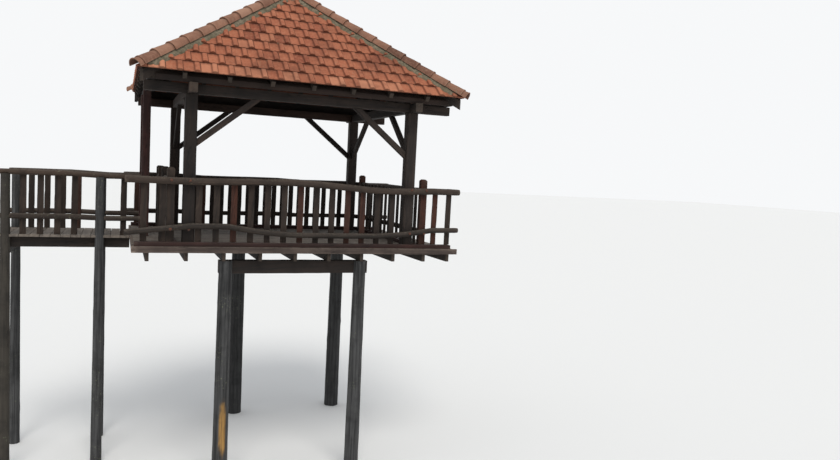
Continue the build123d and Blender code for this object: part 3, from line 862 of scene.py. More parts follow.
@dataclass
class Timbers:
    """Squared or split members, copied from their node and worn by hand and weather."""

    node: str
    seed: int
    arris: float = 0.006
    wear: float = 0.003
    finish: str = "old_dark_timber"
    slot: Slot = Slot.DARK_TIMBER
    live_edge: float = 0.0
    station: float = 0.16
    # Places tinted red, some as painted sunlight.
    red_and_sunlit_places: tuple[float, ...] = ()
    red_reach: float = 0.06
    red_tint: float = 0.97
    tint_range: float = 0.8
    tint_range_by_red: float = 0.62
    flat_angle: float = 2.0
    arris_angle: float = 25.0
    most_corners: int = 6
    wear_scale: float = 6.0
    wane_scale: float = 4.2
    wane_start: float = 0.6
    thin: float = 0.04

    def build(self) -> bpy.types.Object:
        """Make the piece from every member of the node.

        Returns:
            The piece.
        """
        chance = random.Random(self.seed)
        shape = Shape()
        for member in islands(self.node):
            self.work(member, shape, chance)
        return shape.piece(f"{self.node}_wood", self.finish, self.slot, (self.node,))

    def work(self, member: bmesh.types.BMesh, shape: Shape, chance: random.Random) -> None:
        """Round, cut up and wear one member.

        Args:
            member: The member's mesh.
            shape: The shape that it joins.
            chance: The source of chance.
        """
        bmesh.ops.dissolve_limit(member, angle_limit=math.radians(self.flat_angle), verts=member.verts,
                                 edges=member.edges)
        along, across, through = member_axes(member)
        self.round_edges(member)
        low, high = span([vert.co for vert in member.verts], along)
        cuts = max(2, round((high - low) / self.station))
        for index in range(1, cuts):
            where = along * (low + (high - low) * index / cuts)
            geometry = list(member.verts) + list(member.edges) + list(member.faces)
            bmesh.ops.bisect_plane(member, geom=geometry, plane_co=where, plane_no=along)
        wide = [face for face in member.faces if len(face.verts) > self.most_corners]
        bmesh.ops.triangulate(member, faces=wide)
        member.normal_update()
        pattern, tint = new_pattern(chance), self.member_tint(member, chance)
        limits = [span([vert.co for vert in member.verts], way) for way in (across, through)]
        moved = [self.worn_place(vert, (along, across, through), limits, pattern) for vert in member.verts]
        board = []
        for vert, place in zip(member.verts, moved):
            local = Vector((place.dot(along), place.dot(across), place.dot(through)))
            board.append(local + Vector((pattern, pattern * 0.7, pattern * 1.3)))
            vert.co = place
        shape.take(member, board, tint, along)

    def member_tint(self, member: bmesh.types.BMesh, chance: random.Random) -> float:
        """Choose a member's colour number, redder at the given places; some of these are painted sunlight.

        Args:
            member: The member's mesh.
            chance: The source of chance.

        Returns:
            The colour number from 0 to 1.
        """
        plain = chance.random() * (self.tint_range_by_red if self.red_and_sunlit_places else self.tint_range)
        low, high = span([vert.co for vert in member.verts], EAST)
        middle = (low + high) / 2
        red = any(abs(middle - place) < self.red_reach for place in self.red_and_sunlit_places)
        return self.red_tint if red else plain

    def round_edges(self, member: bmesh.types.BMesh) -> None:
        """Take the sharp arrises off a member.

        Args:
            member: The member's mesh.
        """
        least = math.radians(self.arris_angle)
        sharp = [edge for edge in member.edges if edge.is_manifold and edge.calc_face_angle(0) > least]
        bmesh.ops.bevel(member, geom=sharp, offset=self.arris, segments=2, profile=0.6,
                        affect="EDGES", clamp_overlap=True, offset_type="OFFSET")

    def worn_place(self, vert: bmesh.types.BMVert, ways: tuple[Vector, Vector, Vector],
                   limits: list[tuple[float, float]], pattern: float) -> Vector:
        """Where a vertex ends up when its member is worn, always inward.

        Args:
            vert: The vertex.
            ways: The member's along, across and through.
            limits: The member's limits across and through.
            pattern: The member's own noise pattern.

        Returns:
            The new place.
        """
        place = vert.co.copy()
        rub = (drift(place, self.wear_scale, pattern) + 1) / 2
        place -= vert.normal * self.wear * rub
        if self.live_edge:
            for way, (low, high) in zip(ways[1:], limits):
                place -= self.waned(vert, ways[0], way, low, high, pattern)
        return place

    def waned(self, vert: bmesh.types.BMVert, along: Vector, way: Vector, low: float, high: float,
              pattern: float) -> Vector:
        """How far a live edge wanders inward at a vertex.

        Args:
            vert: The vertex.
            along: The way the member runs.
            way: The way across or through it.
            low: The member's lower limit that way.
            high: Its higher limit that way.
            pattern: The member's own noise pattern.

        Returns:
            The move, to be taken off the place.
        """
        offset = vert.co.dot(way) - (low + high) / 2
        half = (high - low) / 2
        if half < self.thin / 2 or abs(offset) <= half * self.wane_start:
            return Vector()
        side = math.copysign(1, offset)
        wave = (drift(along * vert.co.dot(along), self.wane_scale, pattern + side) + 1) / 2
        return way * side * self.live_edge * wave


@dataclass
class PlankFloor:
    """Boards laid side by side, with open joints and worn faces."""

    node: str
    along_x: bool
    width: float = 0.142
    gap: float = 0.006
    seed: int = 5
    arris: float = 0.003
    station: float = 0.3
    longest: float = 2.0
    butt_places: tuple[float, ...] = (0.32, 0.43, 0.57, 0.68)
    butt_gap: float = 0.004
    least_cup: float = 0.0005
    most_cup: float = 0.002
    hollow: float = 0.002
    hollow_scale: float = 3.0

    def build(self) -> bpy.types.Object:
        """Lay the boards inside the node's box.

        Returns:
            The piece.
        """
        chance = random.Random(self.seed)
        shape = Shape()
        low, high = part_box(self.node)
        run, cross = (0, 1) if self.along_x else (1, 0)
        count = round((high[cross] - low[cross]) / self.width)
        pitch = (high[cross] - low[cross]) / count
        for index in range(count):
            start = low[cross] + index * pitch + self.gap / 2
            for first, last in self.lengths(low[run], high[run], chance):
                corner = [first, start, low.z]
                size = [last - first, pitch - self.gap, high.z - low.z]
                self.plank(shape, corner, size, chance)
        return shape.piece(f"{self.node}_planks", "grey_planks", Slot.GREY_BOARDS, (self.node,))

    def lengths(self, low: float, high: float, chance: random.Random) -> Iterator[tuple[float, float]]:
        """Cut one line of floor into boards.

        Args:
            low: Where the line starts.
            high: Where it ends.
            chance: The source of chance.

        Yields:
            The start and end of each board.
        """
        if high - low < self.longest:
            yield low, high
            return
        joint = low + (high - low) * chance.choice(self.butt_places)
        yield low, joint - self.butt_gap / 2
        yield joint + self.butt_gap / 2, high

    def plank(self, shape: Shape, corner: list[float], size: list[float], chance: random.Random) -> None:
        """Make one board as a skinned run of sections.

        Args:
            shape: The shape that it joins.
            corner: Its lowest corner along, across and up.
            size: Its length, width and thickness.
            chance: The source of chance.
        """
        arris, pattern, tint = self.arris, new_pattern(chance), chance.random()
        length, width, thickness = size
        steps = max(2, round(length / self.station))
        cup = chance.uniform(self.least_cup, self.most_cup)
        outline = [
            (0, arris), (0, thickness - arris), (arris, thickness),
            (width / 2, thickness - cup),
            (width - arris, thickness), (width, thickness - arris), (width, arris),
            (width - arris, 0), (arris, 0),
        ]
        rings, board = [], []
        for index in range(steps + 1):
            along = corner[0] + length * index / steps
            ring, places = [], []
            for across, up in outline:
                local = Vector((along, corner[1] + across, corner[2] + up))
                if up > arris:
                    local.z -= abs(drift(local, self.hollow_scale, pattern)) * self.hollow
                ring.append(local if self.along_x else Vector((local.y, local.x, local.z)))
                places.append(Vector((along + pattern, across + pattern, up + pattern)))
            rings.append(ring)
            board.append(places)
        shape.tube(rings, board, tint)


@dataclass(frozen=True)
class Knot:
    """One knot of a log: its place along, its angle and its size."""

    along: float
    angle: float
    size: float


def turned_back(angle: float) -> float:
    """The same angle from minus half a turn to half a turn."""
    return (angle + math.pi) % math.tau - math.pi


@dataclass
class LogSkin:
    """The rough round skin of a natural log with knots."""

    sides: int = 22
    roughness: float = 0.035
    knot_height: float = 0.12
    knot_length: float = 0.055
    knot_turn: float = 0.5
    knots_per_metre: float = 1.6
    least_knot: float = 0.3
    end_margin: float = 0.08
    wander_scale: float = 1.6
    wander_along: float = 2.2
    wander_round: float = 0.9
    grain_scale: float = 1.6

    def ring(self, centre: Vector, ways: Ways, radius: float, along: float, knots: list[Knot],
             pattern: float) -> tuple[list[Vector], list[Vector]]:
        """One ring of the log.

        Args:
            centre: The ring's middle.
            ways: The two directions across the log.
            radius: The log's radius here.
            along: How far along the log the ring is.
            knots: The log's knots.
            pattern: The log's own noise pattern.

        Returns:
            The ring's points and their finish places.
        """
        points, places = [], []
        for step in range(self.sides):
            angle = math.tau * step / self.sides
            first, second = math.cos(angle), math.sin(angle)
            place = Vector((along * self.wander_along, first * self.wander_round, second * self.wander_round))
            swell = 1 - self.roughness * (1 + drift(place, self.wander_scale, pattern))
            for knot in knots:
                reach = ((along - knot.along) / self.knot_length) ** 2
                reach += (turned_back(angle - knot.angle) / self.knot_turn) ** 2
                swell += self.knot_height * knot.size * math.exp(-reach)
            points.append(centre + (ways[0] * first + ways[1] * second) * radius * swell)
            grain = radius * self.grain_scale
            places.append(Vector((along + pattern, first * grain + pattern, second * grain + pattern)))
        return points, places

    def knots(self, length: float, chance: random.Random) -> list[Knot]:
        """Choose where a log's knots are.

        Args:
            length: The log's length.
            chance: The source of chance.

        Returns:
            The knots.
        """
        knots = []
        for _ in range(round(length * self.knots_per_metre)):
            along = chance.uniform(self.end_margin, length - self.end_margin)
            knots.append(Knot(along, chance.uniform(0, math.tau), chance.uniform(self.least_knot, 1.0)))
        return knots


@dataclass
class RailLogs:
    """Natural log rails that follow the rails of a node."""

    node: str
    seed: int
    axis: int | None = None
    tuck: float = 0.0
    station: float = 0.04
    end_step: float = 0.0005
    end_taper: float = 0.93
    skin: LogSkin = field(default_factory=LogSkin)

    def build(self) -> bpy.types.Object:
        """Skin every rail of the node.

        Returns:
            The piece.
        """
        chance = random.Random(self.seed)
        shape = Shape()
        for rail in islands(self.node):
            self.rail(rail, shape, chance)
        return shape.piece(f"{self.node}_logs", "rail_log", Slot.PEELED_LOG, (self.node,), LOG_SMOOTH)

    def rail(self, rail: bmesh.types.BMesh, shape: Shape, chance: random.Random) -> None:
        """Follow one rail from end to end.

        Args:
            rail: The rail's mesh.
            shape: The shape that it joins.
            chance: The source of chance.
        """
        lows = [min(vert.co[axis] for vert in rail.verts) for axis in range(3)]
        highs = [max(vert.co[axis] for vert in rail.verts) for axis in range(3)]
        longer = 0 if highs[0] - lows[0] > highs[1] - lows[1] else 1
        axis = longer if self.axis is None else self.axis
        along, across = (EAST, NORTH) if axis == 0 else (NORTH, EAST)
        middle = max(rail.verts, key=lambda vert: vert.co.z).co[1 - axis]
        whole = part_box(self.node)
        first = max(lows[axis] - self.tuck, whole[0][axis])
        length = min(highs[axis] + self.tuck, whole[1][axis]) - first
        count = max(3, round(length / self.station))
        knots = self.skin.knots(length, chance)
        pattern, tint = new_pattern(chance), chance.random()
        runs = [min(max(length * index / count, self.end_step), length - self.end_step)
                for index in range(count + 1)]
        probes = [along * (first + run) + across * middle for run in runs]
        heights = self.heights(rail, probes, lows[2], highs[2])
        sound = [index for index, pair in enumerate(heights) if pair]
        rings, board = [], []
        for index, (run, probe) in enumerate(zip(runs, probes)):
            base, top = heights[min(sound, key=lambda other: abs(other - index))]
            radius = (top - base) / 2 * (1.0 if 0 < index < count else self.end_taper)
            centre = probe + UP * (top + base) / 2
            ring, places = self.skin.ring(centre, (across, UP), radius, run, knots, pattern)
            rings.append(ring)
            board.append(places)
        shape.tube(rings, board, tint)
        rail.free()

    @staticmethod
    def heights(rail: bmesh.types.BMesh, probes: list[Vector], low: float,
                high: float) -> list[tuple[float, float] | None]:
        """The rail's underside and top at each probe, where it has both.

        Args:
            rail: The rail's mesh.
            probes: Places in plan.
            low: A height under the rail.
            high: A height over it.

        Returns:
            Both heights for each probe, or None where the rail is cut away.
        """
        tree = BVHTree.FromBMesh(rail)
        pairs = []
        for probe in probes:
            top = tree.ray_cast(probe + UP * (high + 1), -UP)[0]
            base = tree.ray_cast(probe + UP * (low - 1), UP)[0]
            pairs.append((base.z, top.z) if top and base else None)
        return pairs


@dataclass(frozen=True)
class PeeledPatch:
    """A patch where a log's bark is off."""

    height: float
    half_length: float
    angle: float
    half_turn: float = 0.5


@dataclass
class StiltLog:
    """One tall stilt, halved at its head where the cross beam sits."""

    name: str
    seed: int
    head_radius: float
    patches: tuple[PeeledPatch, ...] = ()
    station: float = 0.07
    seat_edge: float = 0.001
    tint_range: float = 0.5
    patch_edge: float = 2.5
    fray_scale: float = 22.0
    fray_along: float = 0.4
    skin: LogSkin = field(default_factory=lambda: LogSkin(sides=28, roughness=0.03, knot_height=0.09))

    def build(self) -> bpy.types.Object:
        """Make the stilt in place of its node.

        Returns:
            The piece.
        """
        node, row = f"stilt_{self.name}", self.name.split("_")[0]
        low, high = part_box(node)
        beam_low, beam_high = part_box(f"cross_beam_{row}")
        cheek = beam_low.y if row == "front" else beam_high.y
        held = min if row == "front" else max
        foot_radius = (high.x - low.x) / 2
        centre = Vector(((low.x + high.x) / 2, cheek, 0.0))
        shape = Shape()
        chance = random.Random(self.seed)
        knots, pattern = self.skin.knots(high.z, chance), new_pattern(chance)
        rings, board, peeled = [], [], []
        for z, halved in self.stations(beam_low.z, high.z):
            radius = foot_radius + (self.head_radius - foot_radius) * z / high.z
            ring, places = self.skin.ring(centre + UP * z, (EAST, NORTH), radius, z, knots, pattern)
            if halved:
                for point in ring:
                    point.y = held(point.y, cheek)
            rings.append(ring)
            board.append(places)
            peeled.append([self.bareness(z, point - centre, pattern) for point in ring])
        shape.tube(rings, board, chance.random() * self.tint_range, peeled)
        return shape.piece(f"{node}_log", "stilt_log", Slot.PEELED_LOG, (node,), LOG_SMOOTH)

    def stations(self, seat: float, top: float) -> Iterator[tuple[float, bool]]:
        """Heights of the rings, with two at the seat of the halving.

        Args:
            seat: The height where the halving starts.
            top: The height of the head.

        Yields:
            Each height, and whether the log is halved there.
        """
        count = round(seat / self.station)
        for index in range(count + 1):
            yield seat * index / count, False
        above = max(2, round((top - seat) / self.station))
        for index in range(above + 1):
            yield max(seat + (top - seat) * index / above, seat + self.seat_edge), True

    def bareness(self, z: float, off: Vector, pattern: float) -> float:
        """How bare of bark the log is at a place.

        Args:
            z: The height.
            off: The place seen from the log's axis.
            pattern: The log's own noise pattern.

        Returns:
            The bareness from 0 to 1.
        """
        angle = math.atan2(off.y, off.x)
        total = 0.0
        for patch in self.patches:
            away = turned_back(angle - patch.angle) / patch.half_turn
            inside = 1 - ((z - patch.height) / patch.half_length) ** 2 - away ** 2
            frayed = drift(Vector((z * self.fray_along, off.x, off.y)), self.fray_scale, pattern)
            total = max(total, inside * self.patch_edge + frayed)
        return min(max(total, 0.0), 1.0)


@dataclass
class WalkwayStilts:
    """The slim stilts of the walkway, up to its top rails."""

    node: str = "walkway_stilts"
    head_radius: float = 0.065
    foot_radius: float = 0.085
    head_drop: float = 0.03
    station: float = 0.08
    seed: int = 31
    skin: LogSkin = field(default_factory=lambda: LogSkin(sides=20))

    def build(self) -> bpy.types.Object:
        """Skin every stilt of the node.

        Returns:
            The piece.
        """
        chance = random.Random(self.seed)
        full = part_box("walkway_top_rails")[1].z
        shape = Shape()
        for stilt in islands(self.node):
            foot = [vert.co for vert in stilt.verts if vert.co.z < AT_GROUND]
            centre = sum(foot, Vector()) / len(foot)
            top = max(vert.co.z for vert in stilt.verts) - self.head_drop
            knots = self.skin.knots(top, chance)
            pattern, tint = new_pattern(chance), chance.random()
            rings, board = [], []
            count = round(top / self.station)
            for index in range(count + 1):
                z = top * index / count
                radius = self.foot_radius + (self.head_radius - self.foot_radius) * z / full
                ring, places = self.skin.ring(centre + UP * z, (EAST, NORTH), radius, z, knots, pattern)
                rings.append(ring)
                board.append(places)
            shape.tube(rings, board, tint)
            stilt.free()
        return shape.piece(f"{self.node}_logs", "stilt_log", Slot.PEELED_LOG, (self.node,), LOG_SMOOTH)


# Roof


@dataclass
class Roof:
    """The hipped roof's planes, over the deck's middle and the columns' feet."""

    eave_rise: float = 2.41
    apex_rise: float = 4.09
    half_x: float = 2.4
    half_y: float = 1.95

    def __post_init__(self) -> None:
        """Read the roof's middle and the deck's height from the frame."""
        low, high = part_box("deck_floor")
        self.centre = Vector(((low.x + high.x) / 2, (low.y + high.y) / 2, 0.0))
        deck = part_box("columns")[0].z
        self.eave = deck + self.eave_rise
        self.apex = deck + self.apex_rise

    def half_width(self, side: Side) -> float:
        """Half the eave's length on one side."""
        return self.half_x if side in (Side.FRONT, Side.BACK) else self.half_y

    def run(self, side: Side) -> float:
        """How far one face runs in plan from the eave to the apex."""
        return self.half_y if side in (Side.FRONT, Side.BACK) else self.half_x

    def slope(self, side: Side) -> float:
        """The length of one face up its slope."""
        return math.hypot(self.run(side), self.apex - self.eave)

    def place(self, side: Side, across: float, along: float, normal: float) -> Vector:
        """A place on one face.

        Args:
            side: The face.
            across: How far along the eave from its middle.
            along: How far up the slope.
            normal: How far out of the batten plane.

        Returns:
            The place in the part's frame.
        """
        run, rise, slope = self.run(side), self.apex - self.eave, self.slope(side)
        up = along / slope
        y = -run + up * run - normal * rise / slope
        z = self.eave + up * rise + normal * run / slope
        turned = Matrix.Rotation(math.radians(side.value), 4, "Z") @ Vector((across, y, z))
        return turned + self.centre


@dataclass(frozen=True)
class TileRow:
    """One row of points up a tile: its part of the course and the share of the roll there."""

    part: float
    roll: float
    under_nose: bool = False
    wear: float = 0.0
    # Painted shade on the tile's nose face, where shade falls under the course.
    soot_and_shade: float = 0.0


TILE_ROWS = (
    TileRow(0.0, 1.0, under_nose=True, wear=0.003, soot_and_shade=0.35),
    TileRow(0.016, 1.0, under_nose=True),
    TileRow(0.04, 1.0),
    TileRow(0.45, 1.0),
    TileRow(0.74, 0.95),
    TileRow(0.88, 0.75),
    TileRow(1.0, 0.4),
    TileRow(1.2, 0.0),
)
# Where a tile's points lie across it
PAN_SHARES = (0.0, 0.03, 0.1, 0.2, 0.26, 0.32, 0.38, 0.44, 0.54, 0.62)
ROLL_SHARES = (0.64, 0.67, 0.72, 0.78, 0.82, 0.86, 0.92, 0.97, 1.0)
TILE_SHARES = PAN_SHARES + ROLL_SHARES


def rib(place: float, middle: float, spread: float) -> float:
    """How far up a soft rib a place across a tile is, from 0 to 1."""
    return math.exp(-(((place - middle) / spread) ** 2))


@dataclass
class TileField:
    """Interlocking clay tiles of one roof face: a roll and a pan, each course over the last."""

    roof: Roof
    side: Side
    width: float = 0.228
    course: float = 0.245
    roll_height: float = 0.030
    roll_share: float = 0.36
    roll_fullness: float = 0.8
    ridge_height: float = 0.007
    lip_height: float = 0.0049
    nose: float = 0.051
    pan_head: float = 0.004
    thickness: float = 0.013
    nose_underside: float = 0.006
    joint: float = 0.0045
    tuck: float = 0.014
    mitre: float = 0.003
    lean: float = 0.004
    settling: float = 0.003
    tint_spread: float = 0.15
    eave_paleness: float = 0.16
    # Painted shade in the joints, beside the roll and under the next course.
    joint_shade: float = 0.9
    valley_shade: float = 0.5
    valley_reach: float = 0.035
    lap_start: float = 0.8
    lap_fade: float = 0.22
    first_seed: int = 100

    def build(self) -> bpy.types.Object:
        """Lay the face's tiles and cut them along the hips.

        Returns:
            The piece.
        """
        chance = random.Random(self.first_seed + self.side.value)
        shape = Shape()
        slope, half = self.roof.slope(self.side), self.roof.half_width(self.side)
        for row in range(math.ceil(slope / self.course)):
            foot = row * self.course
            reach = half * (1 - foot / slope) + self.width
            stagger = 0.5 if row % 2 else 0.0
            count = math.ceil(reach / self.width) + 1
            for index in range(-count, count + 1):
                left = (index + stagger) * self.width
                if -reach - self.width <= left <= reach:
                    self.tile(shape, left, foot, row, chance)
        side = self.side.name.lower()
        item = shape.piece(f"roof_tiles_{side}", "clay_tiles", Slot.CLAY_TILE, (f"tiles_{side}",), 35.0)
        self.mitre_hips(item)
        return item

    def profile(self, share: float) -> float:
        """The height of a tile's face over its pan.

        Args:
            share: How far across the tile, from 0 to 1.

        Returns:
            The height in metres.
        """
        if share > 1 - self.roll_share:
            turn = 2 * (1 - share) / self.roll_share - 1
            return self.roll_height * math.sqrt(max(0.0, 1 - turn ** 2)) ** self.roll_fullness
        pan = share / (1 - self.roll_share)
        return rib(pan, 0.5, 0.1) * self.ridge_height + rib(pan, 0.04, 0.05) * self.lip_height

    def shade(self, share: float) -> float:
        """How much painted shade lies at a place across the tile: most in the joint, some beside the roll.

        Args:
            share: How far across the tile, from 0 to 1.

        Returns:
            The painted shade from 0 to 1.
        """
        if share in (0.0, 1.0):
            return self.joint_shade
        beside_roll = abs(share - (1 - self.roll_share)) < self.valley_reach
        return self.valley_shade if beside_roll else 0.0

    def tile(self, shape: Shape, left: float, foot: float, course: int, chance: random.Random) -> None:
        """Make one tile as a closed shell.

        Args:
            shape: The shape that it joins.
            left: Its left edge along the eave.
            foot: Its nose up the slope.
            course: Its course, counted from the eave.
            chance: The source of chance.
        """
        tilt, sink = chance.uniform(-self.lean, self.lean), chance.uniform(0.0, self.settling)
        skew = chance.uniform(-self.lean, self.lean)
        tint = min(max(chance.gauss(0.5, self.tint_spread), 0.0), 1.0)
        if course == 0:
            tint = min(1.0, tint + self.eave_paleness)
        pan_nose = self.nose - self.roll_height
        inner = self.width - self.joint
        rings, board, shelter = [], [], []
        for row in TILE_ROWS:
            up = foot + self.course * row.part
            level = pan_nose + (self.pan_head - pan_nose) * min(row.part, 1.0)
            under = self.nose_underside if row.under_nose else level - sink - self.thickness
            top, base = [], []
            for share in TILE_SHARES:
                across = left + self.joint / 2 + inner * share + skew * row.part
                below = left + self.width * share + (share - 0.5) * self.tuck
                height = level + self.profile(share) * row.roll - sink + tilt * (share - 0.5) - row.wear
                top.append(self.roof.place(self.side, across, up, height))
                base.append(self.roof.place(self.side, below, up, under))
            rings.append(top + base[::-1])
            # Painted shade: darker under the next course and on the nose face; the underside gets full
            # painted shade.
            lapped = max(0.0, (row.part - self.lap_start) / self.lap_fade) + row.soot_and_shade
            face = [min(1.0, lapped + self.shade(share)) for share in TILE_SHARES]
            shelter.append(face + [1.0] * len(face))
            shares = TILE_SHARES + TILE_SHARES[::-1]
            board.append([Vector((up, left + share, level)) for share in shares])
        shape.tube(rings, board, tint, shelter=shelter)

    def mitre_hips(self, item: bpy.types.Object) -> None:
        """Cut the face's tiles away beyond the two hips.

        Args:
            item: The face's piece.
        """
        work = bmesh.new()
        work.from_mesh(item.data)
        turn = Matrix.Rotation(math.radians(self.side.value), 4, "Z")
        for way in (-1, 1):
            hip = Vector((way * self.roof.half_width(self.side), -self.roof.run(self.side), 0.0)).normalized()
            out = turn @ Vector((-hip.y * way, hip.x * way, 0.0))
            geometry = list(work.verts) + list(work.edges) + list(work.faces)
            cut = bmesh.ops.bisect_plane(work, geom=geometry, plane_co=self.roof.centre - out * self.mitre,
                                         plane_no=out, clear_outer=True)
            edges = [part for part in cut["geom_cut"] if isinstance(part, bmesh.types.BMEdge)]
            bmesh.ops.holes_fill(work, edges=edges)
        work.to_mesh(item.data)
        work.free()


@dataclass
class HipLine:
    """One hip of the roof, with its own directions."""

    roof: Roof
    x_side: int
    y_side: int
    cap_radius: float = 0.112
    crest: float = 0.055
    rim_clearance: float = 0.017

    def __post_init__(self) -> None:
        """Work out the hip's directions and the height of the caps' axis."""
        half_x, half_y = self.roof.half_x, self.roof.half_y
        rise = self.roof.apex - self.roof.eave
        self.plan = math.hypot(half_x, half_y)
        self.out = Vector((self.x_side * half_x, self.y_side * half_y, 0.0)) / self.plan
        self.across = self.out.cross(UP)
        self.length = math.hypot(self.plan, rise)
        self.up = (self.out * -self.plan + UP * rise).normalized()
        self.square = self.across.cross(self.up).normalized()
        if self.square.z < 0:
            self.square.negate()
        self.foot = self.roof.centre + self.out * self.plan + UP * self.roof.eave
        self.falls = (rise / half_y * half_x / self.plan, rise / half_x * half_y / self.plan)
        self.lift = self.crest - min(self.falls) * self.cap_radius + self.rim_clearance

    def station(self, along: float) -> Vector:
        """The place of the caps' axis so far up the hip."""
        return self.foot + self.up * along + UP * self.lift

    def fall(self, side: int) -> float:
        """How fast the roof falls away on one side of the hip.

        Args:
            side: -1 or 1 along the hip's way across.

        Returns:
            The fall for each metre across.
        """
        toward_long = self.across * side
        return self.falls[0] if toward_long.x * self.x_side < 0 else self.falls[1]


# How far up a cap each section lies, and how much wider it is there
CAP_SECTIONS = (
    (0.0, -0.004),
    (0.012, 0.0),
    (0.055, 0.001),
    (0.075, -0.004),
    (0.35, 0.0),
    (0.7, 0.0),
    (1.0, 0.0),
)


@dataclass
class HipCaps:
    """The tapered half-round caps along one hip, nose over head."""

    hip: HipLine
    name: str
    exposure: float = 0.290
    lap: float = 0.045
    head_radius: float = 0.086
    thickness: float = 0.014
    row_stop: float = 0.245
    steps: int = 18
    lean: float = 0.035
    yaw: float = 0.006
    sink: float = 0.003
    rise: float = 0.002
    roughness: float = 0.0018
    rough_scale: float = 2.4
    rough_along: float = 3.0
    tint_spread: float = 0.25
    # Painted shade: the head under the next cap's nose, and the whole inside.
    lap_start: float = 0.78
    lap_fade: float = 0.1
    inner_shade: float = 0.9

    def build(self) -> bpy.types.Object:
        """Make the row of caps.

        Returns:
            The piece.
        """
        chance = random.Random(hash_name(self.name))
        shape = Shape()
        top = self.hip.length - self.row_stop
        count = int((top - self.lap) // self.exposure)
        start = top - self.lap - count * self.exposure
        for index in range(count + 1):
            nose = start + (index - 1) * self.exposure
            nose = max(nose, -self.lap) if index == 0 else nose
            head = start + index * self.exposure + self.lap
            self.cap(shape, nose, head, chance)
        return shape.piece(f"{self.name}_clay", "clay_hip_caps", Slot.CLAY_CAP, (self.name,), 45.0)

    def cap(self, shape: Shape, nose: float, head: float, chance: random.Random) -> None:
        """Make one cap with a thick rolled nose.

        Args:
            shape: The shape that it joins.
            nose: Where its wide end is up the hip.
            head: Where its narrow end is.
            chance: The source of chance.
        """
        hip, count = self.hip, self.steps + 1
        tint, pattern = min(max(chance.gauss(0.5, self.tint_spread), 0.0), 1.0), new_pattern(chance)
        lean = chance.uniform(-self.lean, self.lean)
        yaw = chance.uniform(-self.yaw, self.yaw)
        lift = chance.uniform(-self.sink, self.rise)
        rings, board, shelter = [], [], []
        for part, swell in CAP_SECTIONS:
            along = nose + (head - nose) * part
            radius = hip.cap_radius + (self.head_radius - hip.cap_radius) * part + swell
            centre = hip.station(along) + hip.across * yaw * (1 - part) + UP * lift
            outer, inner, places = [], [], []
            for step in range(count):
                angle = math.pi * step / self.steps + lean
                side, top = math.cos(angle), math.sin(angle)
                way = hip.across * side + hip.square * top
                place = Vector((along * self.rough_along, side, top))
                rough = drift(place, self.rough_scale, pattern) * self.roughness
                outer.append(centre + way * (radius + rough))
                inner.append(centre + way * (radius - self.thickness))
                places.append(Vector((along, step * 0.01, pattern)))
            rings.append(outer + inner[::-1])
            board.append(places + places[::-1])
            # Painted shade: darker where the next cap laps over, and fully on the inside.
            lapped = min(max(0.0, (part - self.lap_start) / self.lap_fade), 1.0)
            shelter.append([lapped] * count + [self.inner_shade] * count)
        shape.tube(rings, board, tint, shelter=shelter)


def hash_name(name: str) -> int:
    """A steady number for a name."""
    return sum((index + 3) * ord(letter) for index, letter in enumerate(name))


@dataclass
class MortarBeds:
    """Hand-trowelled mortar that beds the caps on all four hips."""

    hips: list[HipLine]
    half_width: float = 0.148
    start: float = 0.13
    stop: float = 0.240
    eave_share: float = 0.64
    station: float = 0.022
    steps: int = 22
    fray: float = 0.10
    fray_scale: float = 9.0
    lumps: float = 0.010
    lump_scale: float = 14.0
    shoulder: float = 0.85
    crown: float = 0.045
    skirt: float = 0.14
    underside_share: float = 0.9
    underside_drop: float = 0.004
    pattern_step: float = 3.7

    def build(self) -> bpy.types.Object:
        """Make the four beds.

        Returns:
            The piece.
        """
        shape = Shape()
        for index, hip in enumerate(self.hips):
            self.bed(shape, hip, index * self.pattern_step)
        return shape.piece("mortar_beds_trowelled", "hip_mortar", Slot.MORTAR, ("mortar_beds",), 80.0)

    def bed(self, shape: Shape, hip: HipLine, pattern: float) -> None:
        """Make one bed as a run of lumpy sections.

        Args:
            shape: The shape that it joins.
            hip: The hip that it follows.
            pattern: The bed's own noise pattern.
        """
        length = hip.length - self.stop - self.start
        count = round(length / self.station)
        stations = [self.start + length * index / count for index in range(count + 1)]
        sections = [self.section(hip, along, pattern) for along in stations]
        shape.tube([ring for ring, _ in sections], [places for _, places in sections], 0.5)

    def section(self, hip: HipLine, along: float, pattern: float) -> tuple[list[Vector], list[Vector]]:
        """One section across a bed: its lumpy top, then its underside inside the tiles.

        Args:
            hip: The hip that it follows.
            along: How far up the hip it is.
            pattern: The bed's own noise pattern.

        Returns:
            The section's points and their finish places.
        """
        base = hip.foot + hip.up * along
        reach = min(self.half_width, along * self.eave_share)
        points, places = [], []
        for step in range(self.steps + 1):
            share = 2 * step / self.steps - 1
            inward = 1 - abs(share)
            side = 1 if share >= 0 else -1
            ragged = drift(Vector((along, side, 0)), self.fray_scale, pattern)
            across = share * reach * (1 - self.fray * (1 - ragged))
            lump = self.lumps * drift(Vector((along, across * 2, 0)), self.lump_scale, pattern)
            full = hip.crest * self.shoulder + inward * self.crown + lump
            height = full * math.sqrt(min(1.0, inward / self.skirt)) - hip.fall(side) * abs(across)
            points.append(base + hip.across * across + UP * height)
            places.append(Vector((along, across, height)))
        for share in (1.0, 0.5, 0.0, -0.5, -1.0):
            across = reach * self.underside_share * share
            drop = hip.fall(1 if share > 0 else -1) * abs(across) + self.underside_drop
            points.append(base + hip.across * across - UP * drop)
            places.append(Vector((along, 0, 0)))
        return points, places


# How much wider than the dome each ring is, and how high over the dome's centre
CAP_SKIRT = ((-0.016, -0.09), (0.0, -0.085))
COLLAR = ((0.002, -0.14), (0.002, -0.075), (-0.012, -0.035), (-0.05, 0.0))


